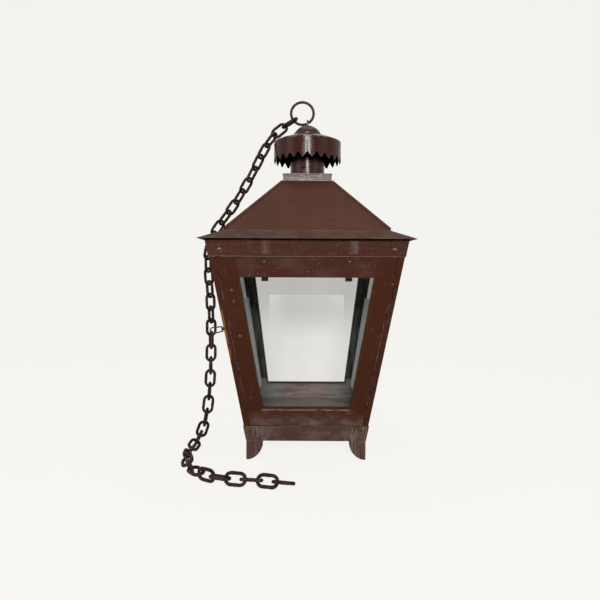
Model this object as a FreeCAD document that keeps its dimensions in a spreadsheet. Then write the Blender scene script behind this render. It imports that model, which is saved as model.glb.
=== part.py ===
# Hanging lantern: a tapered sheet-metal case with a glazed front door, a hipped roof, a vented
# crown, a hanging ring, a wire latch and a chain. Millimetres, +Z up, the front faces -Y, and the
# origin is the centre of the footprint at the bottom of the feet.
import FreeCAD, Part
import Sketcher
import math
import os

Vector = FreeCAD.Vector
Rotation = FreeCAD.Rotation
Placement = FreeCAD.Placement

doc = FreeCAD.newDocument("HangingLantern")

# ---------------------------------------------------------------- driving dimensions
SIZES = [
    # the case
    ("foot_height", 30.0, "floor to the bottom of the case"),
    ("case_height", 325.6, "bottom of the case to the top of the header band"),
    ("base_width", 191.0, "case across the walls at its bottom"),
    ("case_top_width", 307.9, "case across the walls at its top"),
    ("sheet_gauge", 1.2, "thickness of all the sheet metal"),
    ("post_leg", 9.0, "width of each leg of a corner post"),
    ("header_height", 29.6, "height of the band above the door"),
    ("base_band_height", 25.0, "height of the band below the door"),
    ("floor_level", 21.5, "top of the floor pan above the bottom of the case"),
    ("pan_flange", 10.0, "turned-down edge of the floor pan"),
    ("fit_gap", 0.2, "gap between pieces that are riveted or soldered together"),
    # the glazed sides
    ("frame_lower_rail", 32.0, "side frame, bottom edge to opening, up the slope"),
    ("frame_upper_rail", 32.0, "side frame, opening to top edge, up the slope"),
    ("frame_opening_low", 151.0, "width of a side opening at its bottom"),
    ("frame_opening_high", 213.0, "width of a side opening at its top"),
    ("frame_lip", 14.0, "turned-in lip round a side opening"),
    ("pane_gauge", 3.0, "thickness of the glass"),
    ("pane_cover", 3.0, "how far a pane runs past its opening"),
    ("side_pane_short", 50.0, "how far the side panes stop below their opening's top"),
    # the door
    ("door_gap", 1.0, "clearance round the door"),
    ("door_lower_rail", 29.0, "door, bottom edge to window, up the slope"),
    ("door_upper_rail", 31.0, "door, window to top edge, up the slope"),
    ("window_low", 139.5, "width of the door's window at its bottom"),
    ("window_high", 207.0, "width of the door's window at its top"),
    ("door_return", 8.0, "depth of the door's turned-in edges and window lip"),
    ("return_stop", 4.0, "how far the side returns stop above the door's bottom edge"),
    # the feet
    ("foot_width", 27.0, "width of each leg of a foot"),
    ("foot_gauge", 1.6, "thickness of a foot's plate"),
    ("foot_round", 30.0, "radius of the rounded inner edge of a foot"),
    ("foot_inset", 0.4, "foot plate set back inside the band's bottom edge"),
    # the roof
    ("eave_overhang", 9.8, "roof edge out past the header"),
    ("eave_rise", 14.0, "eave edge up to the fold in the roof"),
    ("fold_inset", 33.5, "roof edge in to the fold"),
    ("roof_rise", 92.0, "fold to the bottom of the collar"),
    ("hip_radius", 2.6, "radius of the rolled seams on the hips"),
    # the collar and the chimney
    ("collar_width", 85.5, "square collar across its lips"),
    ("collar_height", 13.0, "height of the collar"),
    ("collar_lip", 1.6, "height of each lip"),
    ("collar_set", 1.0, "how far the collar's sides stand back from its lips"),
    ("chimney_radius", 30.5, "outside radius of the chimney"),
    ("chimney_height", 46.0, "chimney above the collar"),
    ("chimney_tail", 8.0, "chimney below the collar's top"),
    ("weep_radius", 1.3, "radius of the small hole in the chimney"),
    ("weep_level", 12.5, "small hole above the collar"),
    # the crown
    ("crown_radius", 60.0, "outside radius of the crown band"),
    ("crown_height", 34.6, "crown band from the tooth tips to its top"),
    ("crown_lift", 26.0, "tooth tips above the collar"),
    ("tooth_count", 24.0, "teeth round the crown band"),
    ("tooth_depth", 9.2, "depth of the notches between the teeth"),
    ("tooth_tip", 2.2, "width of a tooth's blunt tip"),
    ("notch_top", 1.2, "radius of the round top of a notch"),
    ("lid_height", 12.6, "crown lid from its rim to the finial"),
    ("strap_width", 9.0, "width of the straps that carry the crown"),
    ("strap_gauge", 2.0, "thickness of the straps"),
    ("strap_drop", 12.0, "straps below the top of the crown band"),
    # the finial and the ring
    ("dome_radius", 25.0, "radius of the finial's base"),
    ("dome_rise", 19.8, "height of the finial"),
    ("bead_radius", 1.7, "round bead at the finial's base"),
    ("lug_width", 3.0, "thickness of the ring's lug"),
    ("lug_depth", 12.4, "lug from front to back"),
    ("lug_hole", 4.4, "radius of the lug's hole"),
    ("lug_lift", 4.6, "centre of the lug's hole above the finial"),
    ("ring_radius", 20.2, "hanging ring to the middle of its wire"),
    ("ring_wire", 2.35, "radius of the ring's wire"),
    ("ring_shift", 9.5, "how far the ring rests to the left in its lug"),
    # the hinges and the latch
    ("knuckle_radius", 3.0, "outside radius of a hinge knuckle"),
    ("knuckle_length", 4.8, "length of one knuckle"),
    ("knuckle_gap", 0.3, "gap between two knuckles"),
    ("pin_radius", 1.5, "radius of a hinge pin"),
    ("pin_play", 0.05, "radial play of a pin or wire in its hole"),
    ("leaf_gauge", 1.0, "thickness of a hinge leaf"),
    ("door_leaf", 9.0, "door leaf from the pin to its edge"),
    ("case_leaf", 4.3, "case leaf from the pin to its edge"),
    ("lower_hinge", 83.0, "lower hinge above the bottom of the case"),
    ("upper_hinge", 243.0, "upper hinge above the bottom of the case"),
    ("latch_level", 184.0, "latch above the bottom of the case"),
    ("latch_wire", 1.0, "radius of the latch's wire"),
    ("latch_stand", 1.8, "latch pivot out from both walls at the corner"),
    ("latch_barrel", 4.4, "length of the latch's eye"),
    ("latch_reach", 20.0, "length of the latch loop from its pivot"),
    ("latch_round", 4.8, "radius of the latch loop's nose"),
    # fasteners
    ("rivet_radius", 3.6, "radius of a header rivet's head"),
    ("stud_radius", 2.2, "radius of a door rivet's head"),
    ("stud_drop", 7.3, "door rivet below the door's top edge"),
    ("stud_inset", 15.0, "door rivet out from the window's side"),
    ("clip_width", 10.6, "width of a door glass clip"),
    ("clip_margin", 3.0, "pane clips out from a side opening's lip"),
    ("clip_drop", 6.0, "door glass clip below the window's top edge"),
    # the chain
    ("link_wire", 2.55, "radius of the chain's wire"),
    ("link_length", 34.3, "outside length of a link"),
    ("link_width", 21.0, "outside width of a link"),
    ("link_play", 0.92, "slack between two links"),
]

sheet = doc.addObject("Spreadsheet::Sheet", "Sizes")
for row, (alias, number, note) in enumerate(SIZES, start=1):
    sheet.set(f"A{row}", note)
    sheet.set(f"B{row}", str(number))
    sheet.setAlias(f"B{row}", alias)
doc.recompute()
derived = doc.addObject("App::VarSet", "Derived")


class Size:
    """A length known both as a number and as the expression that gives it."""

    def __init__(self, number, text):
        self.number = float(number)
        self.text = text

    def __add__(self, other):
        other = as_size(other)
        return Size(self.number + other.number, f"({self.text} + {other.text})")

    def __sub__(self, other):
        other = as_size(other)
        return Size(self.number - other.number, f"({self.text} - {other.text})")

    def __mul__(self, other):
        other = as_size(other)
        return Size(self.number * other.number, f"({self.text} * {other.text})")

    def __truediv__(self, other):
        other = as_size(other)
        return Size(self.number / other.number, f"({self.text} / {other.text})")

    def __neg__(self):
        return Size(-self.number, f"(0 - {self.text})")

    __radd__ = __add__
    __rmul__ = __mul__


def as_size(value):
    """A plain number becomes a size; a size stays itself."""
    return value if isinstance(value, Size) else Size(value, repr(float(value)))


def root(size):
    return Size(math.sqrt(size.number), f"sqrt({size.text})")


def derive(name, size):
    """Keep a worked-out size in the document, so that later expressions stay short."""
    derived.addProperty("App::PropertyFloat", name)
    derived.setExpression(name, size.text)
    return Size(size.number, f"Derived.{name}")


class Sizes:
    """The sheet's cells by name, each as a Size."""

    def __getattr__(self, alias):
        return Size(sheet.get(alias), f"Sizes.{alias}")


S = Sizes()
HALF = 0.5
TURN = 90.0
NOTCH_SHARE = 0.8
CLIP_SHARE = 0.314
STUD_SHARES = (0.08, 0.56, 0.82, 0.905)
RIVET_TOP = 0.6
RIVET_RISE = 0.45
TAB_REACH = 7.0
X_AXIS, Y_AXIS, Z_AXIS = Vector(1, 0, 0), Vector(0, 1, 0), Vector(0, 0, 1)

# ---------------------------------------------------------------- derived sizes
base_half = derive("base_half", S.base_width * HALF)
taper = derive("taper", (S.case_top_width - S.base_width) * HALF / S.case_height)
slope = derive("slope", root(taper * taper + 1))
case_top = derive("case_top", S.foot_height + S.case_height)
door_low = derive("door_low", S.base_band_height + S.door_gap)
door_high = derive("door_high", S.case_height - S.header_height - S.door_gap)
frame_low = derive("frame_low", S.floor_level + S.fit_gap)
frame_high = derive("frame_high", S.case_height - S.sheet_gauge - S.fit_gap)
frame_depth = derive("frame_depth", S.sheet_gauge + S.fit_gap)
header_half = derive("header_half", S.case_top_width * HALF + S.sheet_gauge)
eave_half = derive("eave_half", header_half + S.eave_overhang)
fold_half = derive("fold_half", eave_half - S.fold_inset)
collar_half = derive("collar_half", S.collar_width * HALF)
roof_head_half = derive("roof_head_half", collar_half - S.collar_set)
eave_pitch = derive("eave_pitch", S.eave_rise / S.fold_inset)
eave_level = derive("eave_level", case_top + (S.sheet_gauge * root(eave_pitch * eave_pitch + 1))
                    + S.fit_gap - S.eave_overhang * eave_pitch)
fold_level = derive("fold_level", eave_level + S.eave_rise)
roof_head = derive("roof_head", fold_level + S.roof_rise)
roof_pitch = derive("roof_pitch", S.roof_rise / (fold_half - roof_head_half))
collar_top = derive("collar_top", roof_head + S.collar_height)
crown_low = derive("crown_low", collar_top + S.crown_lift)
crown_high = derive("crown_high", crown_low + S.crown_height)
dome_level = derive("dome_level", crown_high + S.lid_height)
dome_top = derive("dome_top", dome_level + S.dome_rise)
lug_level = derive("lug_level", dome_top + S.lug_lift)
ring_rise = derive("ring_rise", root(S.ring_radius * S.ring_radius - S.ring_shift * S.ring_shift))


def half_at(level):
    """Half the width of the case at a level above its bottom."""
    return base_half + taper * level


# ---------------------------------------------------------------- helpers
parts = []


def keep(solid, label, placement=None):
    """Name a finished sub-part and add it to the list that is written out."""
    solid.Label = label
    if placement is not None:
        solid.Placement = placement
    parts.append(solid)
    return solid


def bind(thing, **sizes):
    for name, size in sizes.items():
        thing.setExpression(name, as_size(size).text)
        setattr(thing, name, as_size(size).number)


def new_body(name):
    return doc.addObject("PartDesign::Body", name)


def origin_plane(body, role):
    return next(plane for plane in body.Origin.OriginFeatures if plane.Role == role)


def pin_point(sketch, curve, end, point):
    """Hold one end of a curve at a point given by two sizes."""
    for kind, size in zip(("DistanceX", "DistanceY"), point):
        index = sketch.addConstraint(Sketcher.Constraint(kind, -1, 1, curve, end, size.number))
        sketch.setExpression(f"Constraints[{index}]", size.text)


def arc_between(start, end):
    """A circle arc from start to end with its centre on the sketch's upright axis."""
    (x1, y1), (x2, y2) = start, end
    if abs(y2 - y1) < 1e-9:
        raise ValueError("the arc's ends need different heights")
    centre_y = ((x2 * x2 + y2 * y2) - (x1 * x1 + y1 * y1)) / (2 * (y2 - y1))
    first = math.atan2(y1 - centre_y, x1)
    last = math.atan2(y2 - centre_y, x2)
    radius = math.hypot(x1, y1 - centre_y)
    circle = Part.Circle(Vector(0, centre_y, 0), Z_AXIS, radius)
    return Part.ArcOfCircle(circle, min(first, last), max(first, last)), last > first


def add_loop(sketch, points, arcs=()):
    """A closed outline. arcs holds the numbers of the sides that are arcs about the upright axis."""
    points = [tuple(as_size(value) for value in point) for point in points]
    ends = []
    for number, point in enumerate(points):
        following = points[(number + 1) % len(points)]
        start = (point[0].number, point[1].number)
        end = (following[0].number, following[1].number)
        if number in arcs:
            curve, forward = arc_between(start, end)
            index = sketch.addGeometry(curve, False)
            sketch.addConstraint(Sketcher.Constraint("PointOnObject", index, 3, -2))
            ends.append((index, 1 if forward else 2, 2 if forward else 1))
        else:
            line = Part.LineSegment(Vector(*start, 0), Vector(*end, 0))
            ends.append((sketch.addGeometry(line, False), 1, 2))
    for number, (index, first, _) in enumerate(ends):
        before, _, last = ends[number - 1]
        sketch.addConstraint(Sketcher.Constraint("Coincident", before, last, index, first))
        pin_point(sketch, index, first, points[number])


def new_sketch(body, name, role, *loops, offset=None, arcs=()):
    sketch = body.newObject("Sketcher::SketchObject", name)
    sketch.AttachmentSupport = [(origin_plane(body, role), "")]
    sketch.MapMode = "FlatFace"
    if offset is not None:
        sketch.AttachmentOffset = Placement(Vector(0, 0, offset.number), Rotation())
        sketch.setExpression("AttachmentOffset.Base.z", offset.text)
    for loop in loops:
        add_loop(sketch, loop, arcs)
    return sketch


def add_feature(body, kind, name, sketch, **sizes):
    feature = body.newObject(f"PartDesign::{kind}", name)
    feature.Profile = sketch
    sketch.Visibility = False
    bind(feature, **sizes)
    return feature


def add_circle(sketch, radius, centre=None):
    """A circle at the sketch's origin, or at a centre given by two sizes."""
    centre = centre or (as_size(0), as_size(0))
    place = Vector(centre[0].number, centre[1].number, 0)
    index = sketch.addGeometry(Part.Circle(place, Z_AXIS, radius.number), False)
    pin_point(sketch, index, 3, centre)
    held = sketch.addConstraint(Sketcher.Constraint("Radius", index, radius.number))
    sketch.setExpression(f"Constraints[{held}]", radius.text)


def frustum(name, low, high, half_low, half_high):
    """An upright square frustum between two levels."""
    solid = doc.addObject("Part::Wedge", name)
    half_low, half_high = as_size(half_low), as_size(half_high)
    bind(solid, Ymin=low, Ymax=high, Xmin=-half_low, Xmax=half_low, Zmin=-half_low, Zmax=half_low,
         X2min=-half_high, X2max=half_high, Z2min=-half_high, Z2max=half_high)
    solid.Placement = Placement(Vector(), Rotation(X_AXIS, TURN))
    return solid


def cut(name, base, tool):
    result = doc.addObject("Part::Cut", name)
    result.Base, result.Tool = base, tool
    return result


def join(name, *shapes):
    result = doc.addObject("Part::MultiFuse", name)
    result.Shapes = list(shapes)
    return result


def tube(name, outer, inner, low, high):
    """A round upright tube."""
    rods = []
    for part_name, radius in ((f"{name}_outside", outer), (f"{name}_inside", inner)):
        rod = doc.addObject("Part::Cylinder", part_name)
        bind(rod, Radius=radius, Height=high - low)
        rod.Placement.Base = Vector(0, 0, low.number)
        rod.setExpression("Placement.Base.z", low.text)
        rods.append(rod)
    return cut(name, *rods)


def group(name, shapes):
    """One node that holds several separate solids."""
    feature = doc.addObject("Part::Feature", name)
    feature.Shape = Part.makeCompound(shapes)
    return feature


def quarter_turn(number):
    return Placement(Vector(), Rotation(Z_AXIS, TURN * number))


def wall_frame(side, level=None):
    """The frame of a sloping wall: x along the wall, z up the slope, y straight in."""
    lean = math.degrees(math.atan(taper.number))
    foot = Placement(Vector(0, -base_half.number, S.foot_height.number), Rotation(X_AXIS, lean))
    return quarter_turn(side).multiply(foot)


FRONT, RIGHT, BACK, LEFT = range(4)


# ---------------------------------------------------------------- the case
def corner_posts():
    names = ("front_left", "front_right", "back_right", "back_left")
    leg, gauge = S.post_leg, S.sheet_gauge
    for number, name in enumerate(names):
        body = new_body(f"post_{name}")
        angle = [(0, 0), (leg, 0), (leg, gauge), (gauge, gauge), (gauge, leg), (0, leg)]
        sketch = new_sketch(body, f"post_{name}_section", "XY_Plane", angle)
        pad = add_feature(body, "Pad", f"post_{name}_run", sketch, Length=S.case_height)
        pad.UseCustomVector = True
        pad.Direction = Vector(-taper.number, -taper.number, 1)
        pad.AlongSketchNormal = True
        corner = Vector(-base_half.number, -base_half.number, S.foot_height.number)
        keep(body, f"corner_post_{name}", quarter_turn(number).multiply(Placement(corner, Rotation())))


def band(name, low, high):
    """A sheet band round the outside of the case, between two levels above its bottom."""
    low, high = as_size(low), as_size(high)
    inner = [half_at(low), half_at(high)]
    outer = [half + S.sheet_gauge for half in inner]
    low, high = S.foot_height + low, S.foot_height + high
    return cut(name, frustum(f"{name}_outside", low, high, *outer),
               frustum(f"{name}_inside", low, high, *inner))


def floor_pan():
    """A flat floor with its edge turned down."""
    top = S.floor_level
    low = top - S.pan_flange
    under = top - S.sheet_gauge
    stand = S.sheet_gauge + S.fit_gap
    outside = frustum("pan_outside", S.foot_height + low, S.foot_height + top,
                      half_at(low) - stand, half_at(top) - stand)
    stand = stand + S.sheet_gauge
    inside = frustum("pan_inside", S.foot_height + low, S.foot_height + under,
                     half_at(low) - stand, half_at(under) - stand)
    keep(cut("floor_pan_sheet", outside, inside), "floor_pan")


class Trapezoid:
    """A symmetric trapezoid in a wall's frame, held by two levels and two half widths."""

    def __init__(self, low, high, half_low, half_high):
        self.low, self.high = as_size(low), as_size(high)
        self.half_low, self.half_high = as_size(half_low), as_size(half_high)

    def grown(self, by, over=None, under=None):
        """The same trapezoid with each side moved out by one distance."""
        lean = (self.half_high - self.half_low) / (self.high - self.low)
        side = root(lean * lean + 1) * by
        over = by if over is None else over
        under = by if under is None else under
        return Trapezoid(self.low - under, self.high + over,
                         self.half_low + side - lean * under, self.half_high + side + lean * over)

    def corners(self):
        return [(-self.half_low, self.low), (self.half_low, self.low),
                (self.half_high, self.high), (-self.half_high, self.high)]


def kept(name, outline):
    """Keep a trapezoid's four sizes in the document."""
    return Trapezoid(derive(f"{name}_low", outline.low), derive(f"{name}_high", outline.high),
                     derive(f"{name}_half_low", outline.half_low),
                     derive(f"{name}_half_high", outline.half_high))


def pad_inwards(body, name, depth, *loops, start=None):
    """Pad an outline straight in from the wall's outside face."""
    offset = -(start if start is not None else as_size(0))
    sketch = new_sketch(body, f"{name}_outline", "XZ_Plane", *loops, offset=offset)
    pad = add_feature(body, "Pad", name, sketch, Length=depth)
    pad.Reversed = True
    return pad


case_frame = kept("case_frame", Trapezoid(
    frame_low * slope, frame_high * slope,
    half_at(frame_low) - S.sheet_gauge * 2 - S.fit_gap,
    half_at(frame_high) - S.sheet_gauge * 2 - S.fit_gap))
case_opening = kept("case_opening", Trapezoid(
    frame_low * slope + S.frame_lower_rail, door_high * slope - S.frame_upper_rail,
    S.frame_opening_low * HALF, S.frame_opening_high * HALF))
door_edge = kept("door_edge", Trapezoid(
    door_low * slope, door_high * slope,
    half_at(door_low) - S.post_leg - S.door_gap, half_at(door_high) - S.post_leg - S.door_gap))
window = kept("window", Trapezoid(
    door_edge.low + S.door_lower_rail, door_edge.high - S.door_upper_rail,
    S.window_low * HALF, S.window_high * HALF))


def side_frame(name, side):
    """A flat sheet with an opening whose edge is turned in to seat the glass."""
    body = new_body(name)
    pad_inwards(body, f"{name}_face", S.sheet_gauge, case_frame.corners(), case_opening.corners(),
                start=frame_depth)
    lip = kept(f"{name}_lip", case_opening.grown(S.sheet_gauge))
    pad_inwards(body, f"{name}_lip_run", S.frame_lip, lip.corners(), case_opening.corners(),
                start=frame_depth)
    keep(body, name, wall_frame(side))


def pane(name, opening, side, depth, short=0.0):
    """A sheet of glass a little larger than its opening, at a depth behind the wall."""
    body = new_body(name)
    cover = S.pane_cover
    edge = opening.grown(cover, over=cover - short)
    pad_inwards(body, f"{name}_sheet", S.pane_gauge, edge.corners(), start=depth)
    keep(body, name, wall_frame(side))


def glazed_sides():
    depth = derive("pane_depth", frame_depth + S.frame_lip + S.fit_gap)
    for name, side in (("right", RIGHT), ("back", BACK), ("left", LEFT)):
        side_frame(f"{name}_frame", side)
        short = 0.0 if side == BACK else S.side_pane_short
        pane(f"{name}_glass", case_opening, side, depth, short)


corner_posts()
keep(band("header_band_sheet", S.case_height - S.header_height, S.case_height), "header_band")
keep(band("base_band_sheet", 0, S.base_band_height), "base_band")
floor_pan()
glazed_sides()


# ---------------------------------------------------------------- the feet
def rod(name, radius, length, place, turn):
    """A round bar of a bound radius, laid along an axis and centred on its place."""
    bar = doc.addObject("Part::Cylinder", name)
    bind(bar, Radius=radius, Height=length)
    middle = Placement(Vector(0, 0, -as_size(length).number * HALF), Rotation())
    bar.Placement = Placement(place, turn).multiply(middle)
    return bar


def feet():
    """Four angle-plate feet, each leg cut to a quarter round on its inner side."""
    names = ("front_left", "front_right", "back_right", "back_left")
    width, gauge = S.foot_width, S.foot_gauge
    stand = base_half + S.sheet_gauge - S.foot_inset
    centre = S.foot_width - S.foot_round
    level = S.foot_height - S.sheet_gauge
    reach = S.foot_width * 4
    for number, name in enumerate(names):
        body = new_body(f"foot_{name}_angle")
        angle = [(0, 0), (width, 0), (width, gauge), (gauge, gauge), (gauge, width), (0, width)]
        sketch = new_sketch(body, f"foot_{name}_section", "XY_Plane", angle)
        add_feature(body, "Pad", f"foot_{name}_run", sketch, Length=S.foot_height)
        across = rod(f"foot_{name}_round_y", S.foot_round, reach,
                     Vector(centre.number, 0, level.number), Rotation(X_AXIS, TURN))
        along = rod(f"foot_{name}_round_x", S.foot_round, reach,
                    Vector(0, centre.number, level.number), Rotation(Y_AXIS, TURN))
        foot = doc.addObject("Part::MultiCommon", f"foot_{name}_plate")
        foot.Shapes = [body, across, along]
        place = Placement(Vector(-stand.number, -stand.number, 0), Rotation())
        keep(foot, f"foot_{name}", quarter_turn(number).multiply(place))


# ---------------------------------------------------------------- the roof
def sloping_shell(name, low, high, half_low, half_high, pitch):
    """A hipped sheet shell; pitch is its rise over its run."""
    drop = S.sheet_gauge * root(pitch * pitch + 1)
    outside = frustum(f"{name}_outside", low, high, half_low, half_high)
    inside = frustum(f"{name}_inside", low - drop, high, half_low, half_high - drop / pitch)
    return cut(name, outside, inside)


def roof():
    keep(sloping_shell("eave_sheet", eave_level, fold_level, eave_half, fold_half, eave_pitch),
         "eave_skirt")
    keep(sloping_shell("roof_sheet", fold_level, roof_head, fold_half, roof_head_half, roof_pitch),
         "roof_shell")


def hip_rolls():
    """A rolled seam along each hip, seated on the roof's corner."""
    form = frustum("hip_form", fold_level, roof_head, fold_half, roof_head_half)
    foot = Vector(-fold_half.number, -fold_half.number, fold_level.number)
    head = Vector(-roof_head_half.number, -roof_head_half.number, roof_head.number)
    along = (head - foot).normalize()
    inset = S.hip_radius.number
    length = derive("hip_length", root((fold_half - roof_head_half) * (fold_half - roof_head_half) * 2
                                       + S.roof_rise * S.roof_rise) - S.hip_radius * 3)
    start = foot + along * (inset * 2)
    rolls = []
    for number in range(4):
        bar = doc.addObject("Part::Cylinder", f"hip_bar_{number}")
        bind(bar, Radius=S.hip_radius, Height=length)
        bar.Placement = quarter_turn(number).multiply(
            Placement(start, Rotation(Z_AXIS, along)))
        rolls.append(cut(f"hip_roll_{number}", bar, form))
    compound = doc.addObject("Part::Compound", "hip_roll_set")
    compound.Links = rolls
    keep(compound, "hip_rolls")


# ---------------------------------------------------------------- the collar and the chimney
def vent_collar():
    """A square cap with a lip at its top and bottom and a round hole for the chimney."""
    body = new_body("collar_body")
    side, wall = roof_head_half, roof_head_half - S.sheet_gauge

    def square(half):
        return [(-half, -half), (half, -half), (half, half), (-half, half)]

    walls = new_sketch(body, "collar_walls", "XY_Plane", square(side), square(wall))
    add_feature(body, "Pad", "collar_wall_run", walls, Length=S.collar_height)
    upper = S.collar_height - S.collar_lip
    for name, level in (("collar_foot_lip", as_size(0)), ("collar_head_lip", upper)):
        lip = new_sketch(body, f"{name}_edge", "XY_Plane", square(collar_half), square(wall),
                         offset=level)
        add_feature(body, "Pad", name, lip, Length=S.collar_lip)
    top = new_sketch(body, "collar_top_sheet", "XY_Plane", square(collar_half), offset=upper)
    add_circle(top, S.chimney_radius + S.fit_gap)
    add_feature(body, "Pad", "collar_top_run", top, Length=S.collar_lip)
    place = Placement(Vector(0, 0, (roof_head + S.pin_play).number), Rotation())
    keep(body, "vent_collar", place)


def chimney():
    """A tube with one small weep hole at the front."""
    pipe = tube("chimney_pipe", S.chimney_radius, S.chimney_radius - S.sheet_gauge,
                collar_top - S.chimney_tail, collar_top + S.chimney_height)
    centre = Vector(-S.chimney_radius.number / 5, -S.chimney_radius.number,
                    (collar_top + S.weep_level).number)
    hole = rod("chimney_weep", S.weep_radius, S.chimney_radius * HALF, centre,
               Rotation(X_AXIS, TURN))
    keep(cut("chimney_tube", pipe, hole), "chimney")


# ---------------------------------------------------------------- the crown
def crown_band():
    """A round band whose lower edge is cut into teeth."""
    body = new_body("crown_body")
    ring = new_sketch(body, "crown_ring", "XY_Plane")
    add_circle(ring, S.crown_radius)
    add_circle(ring, S.crown_radius - S.sheet_gauge)
    add_feature(body, "Pad", "crown_ring_run", ring, Length=S.crown_height)
    pitch = S.crown_radius * 2 * math.pi / S.tooth_count
    foot = (pitch - S.tooth_tip) * HALF
    shoulder = S.tooth_depth - S.notch_top
    notch = [(-foot, -S.notch_top), (-foot, 0), (-S.notch_top, shoulder), (0, S.tooth_depth),
             (S.notch_top, shoulder), (foot, 0), (foot, -S.notch_top)]
    outline = new_sketch(body, "crown_notch", "XZ_Plane", notch)
    pocket = add_feature(body, "Pocket", "crown_notch_cut", outline)
    pocket.Type = "ThroughAll"
    doc.recompute()
    pattern = body.newObject("PartDesign::PolarPattern", "crown_teeth")
    pattern.Originals = [pocket]
    pattern.Axis = (ring, ["N_Axis"])
    pattern.Angle = 360
    pattern.Occurrences = int(S.tooth_count.number)
    pattern.setExpression("Occurrences", S.tooth_count.text)
    body.Tip = pattern
    doc.recompute()
    expected = ring_volume() - S.tooth_count.number * NOTCH_SHARE * notch_volume()
    if body.Shape.Volume > expected:
        raise RuntimeError("the crown's notches cut too little")
    keep(body, "crown_band", Placement(Vector(0, 0, crown_low.number), Rotation()))


def ring_volume():
    inner = S.crown_radius.number - S.sheet_gauge.number
    area = math.pi * (S.crown_radius.number ** 2 - inner ** 2)
    return area * S.crown_height.number


def notch_volume():
    pitch = 2 * math.pi * S.crown_radius.number / S.tooth_count.number
    return (pitch - S.tooth_tip.number) * HALF * S.tooth_depth.number * S.sheet_gauge.number


def revolve(name, *points, arcs=()):
    """A full revolution of an outline about the upright axis."""
    body = new_body(name)
    sketch = new_sketch(body, f"{name}_profile", "XZ_Plane", list(points), arcs=arcs)
    turned = add_feature(body, "Revolution", f"{name}_turn", sketch)
    turned.ReferenceAxis = (sketch, ["V_Axis"])
    turned.Angle = 360
    return body


def crown_lid():
    """A shallow domed lid with a rim that seats on the crown band."""
    rim, neck, gauge = S.crown_radius, S.dome_radius * HALF, S.sheet_gauge
    lid = revolve("lid_sheet", (neck, S.lid_height - gauge), (neck, S.lid_height),
                  (S.dome_radius + S.bead_radius, S.lid_height), (rim, gauge), (rim, 0),
                  (S.dome_radius + S.bead_radius, S.lid_height - gauge), arcs=(2, 4))
    keep(lid, "crown_lid", Placement(Vector(0, 0, crown_high.number), Rotation()))


def crown_straps():
    """Four cranked straps from the chimney out to the crown band."""
    inner = S.chimney_radius + S.fit_gap * HALF
    outer = S.crown_radius - S.sheet_gauge - S.fit_gap * HALF
    top = crown_high - S.strap_drop
    sleeve = tube("strap_room", outer, inner, top - S.strap_width, top)
    straps = []
    for number in range(4):
        bar = doc.addObject("Part::Box", f"strap_bar_{number}")
        bind(bar, Length=S.crown_radius, Width=S.strap_width, Height=S.strap_gauge)
        place = Placement(Vector(0, -S.strap_width.number * HALF, (top - S.strap_gauge).number),
                          Rotation())
        turn = Placement(Vector(), Rotation(Z_AXIS, TURN * (number + HALF)))
        bar.Placement = turn.multiply(place)
        strap = doc.addObject("Part::Common", f"strap_{number}")
        strap.Base, strap.Tool = bar, sleeve
        straps.append(strap)
    compound = doc.addObject("Part::Compound", "strap_set")
    compound.Links = straps
    keep(compound, "crown_straps")


def finial():
    """A hollow dome with a round bead at its base."""
    gauge, radius, rise = S.sheet_gauge, S.dome_radius, S.dome_rise
    flat = S.lug_width
    bead = S.bead_radius
    crest = radius + bead
    dome = revolve("finial_sheet", (0, rise - gauge), (0, rise), (flat, rise), (radius, bead * 2),
                   (radius + bead * HALF, bead * 2), (crest, bead * 1.5), (crest, bead * HALF),
                   (radius + bead * HALF, 0), (radius - gauge, 0), (radius - gauge, bead),
                   (flat, rise - gauge), arcs=(2, 9))
    keep(dome, "finial_dome", Placement(Vector(0, 0, (dome_level + S.pin_play).number), Rotation()))


def ring_lug():
    """An upright plate with a round head and a hole, on top of the finial."""
    body = new_body("lug_body")
    half, rise = S.lug_depth * HALF, S.lug_lift - S.pin_play * 2
    plate = new_sketch(body, "lug_plate", "YZ_Plane",
                       [(-half, -rise), (half, -rise), (half, 0), (0, half), (-half, 0)],
                       arcs=(2, 3))
    pad = add_feature(body, "Pad", "lug_plate_run", plate, Length=S.lug_width)
    pad.Midplane = True
    hole = new_sketch(body, "lug_eye", "YZ_Plane")
    add_circle(hole, S.lug_hole)
    pocket = add_feature(body, "Pocket", "lug_eye_cut", hole, Length=S.lug_width * 2)
    pocket.Midplane = True
    keep(body, "ring_lug", Placement(Vector(0, 0, (lug_level + S.pin_play * 3).number), Rotation()))


def hanging_ring():
    ring = doc.addObject("Part::Torus", "ring_bar")
    bind(ring, Radius1=S.ring_radius, Radius2=S.ring_wire)
    centre = Vector(-S.ring_shift.number, 0, (lug_level + ring_rise).number)
    keep(ring, "hanging_ring", Placement(centre, Rotation(X_AXIS, TURN)))


feet()
roof()
hip_rolls()
vent_collar()
chimney()
crown_band()
crown_lid()
crown_straps()
finial()
ring_lug()
hanging_ring()


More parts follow.
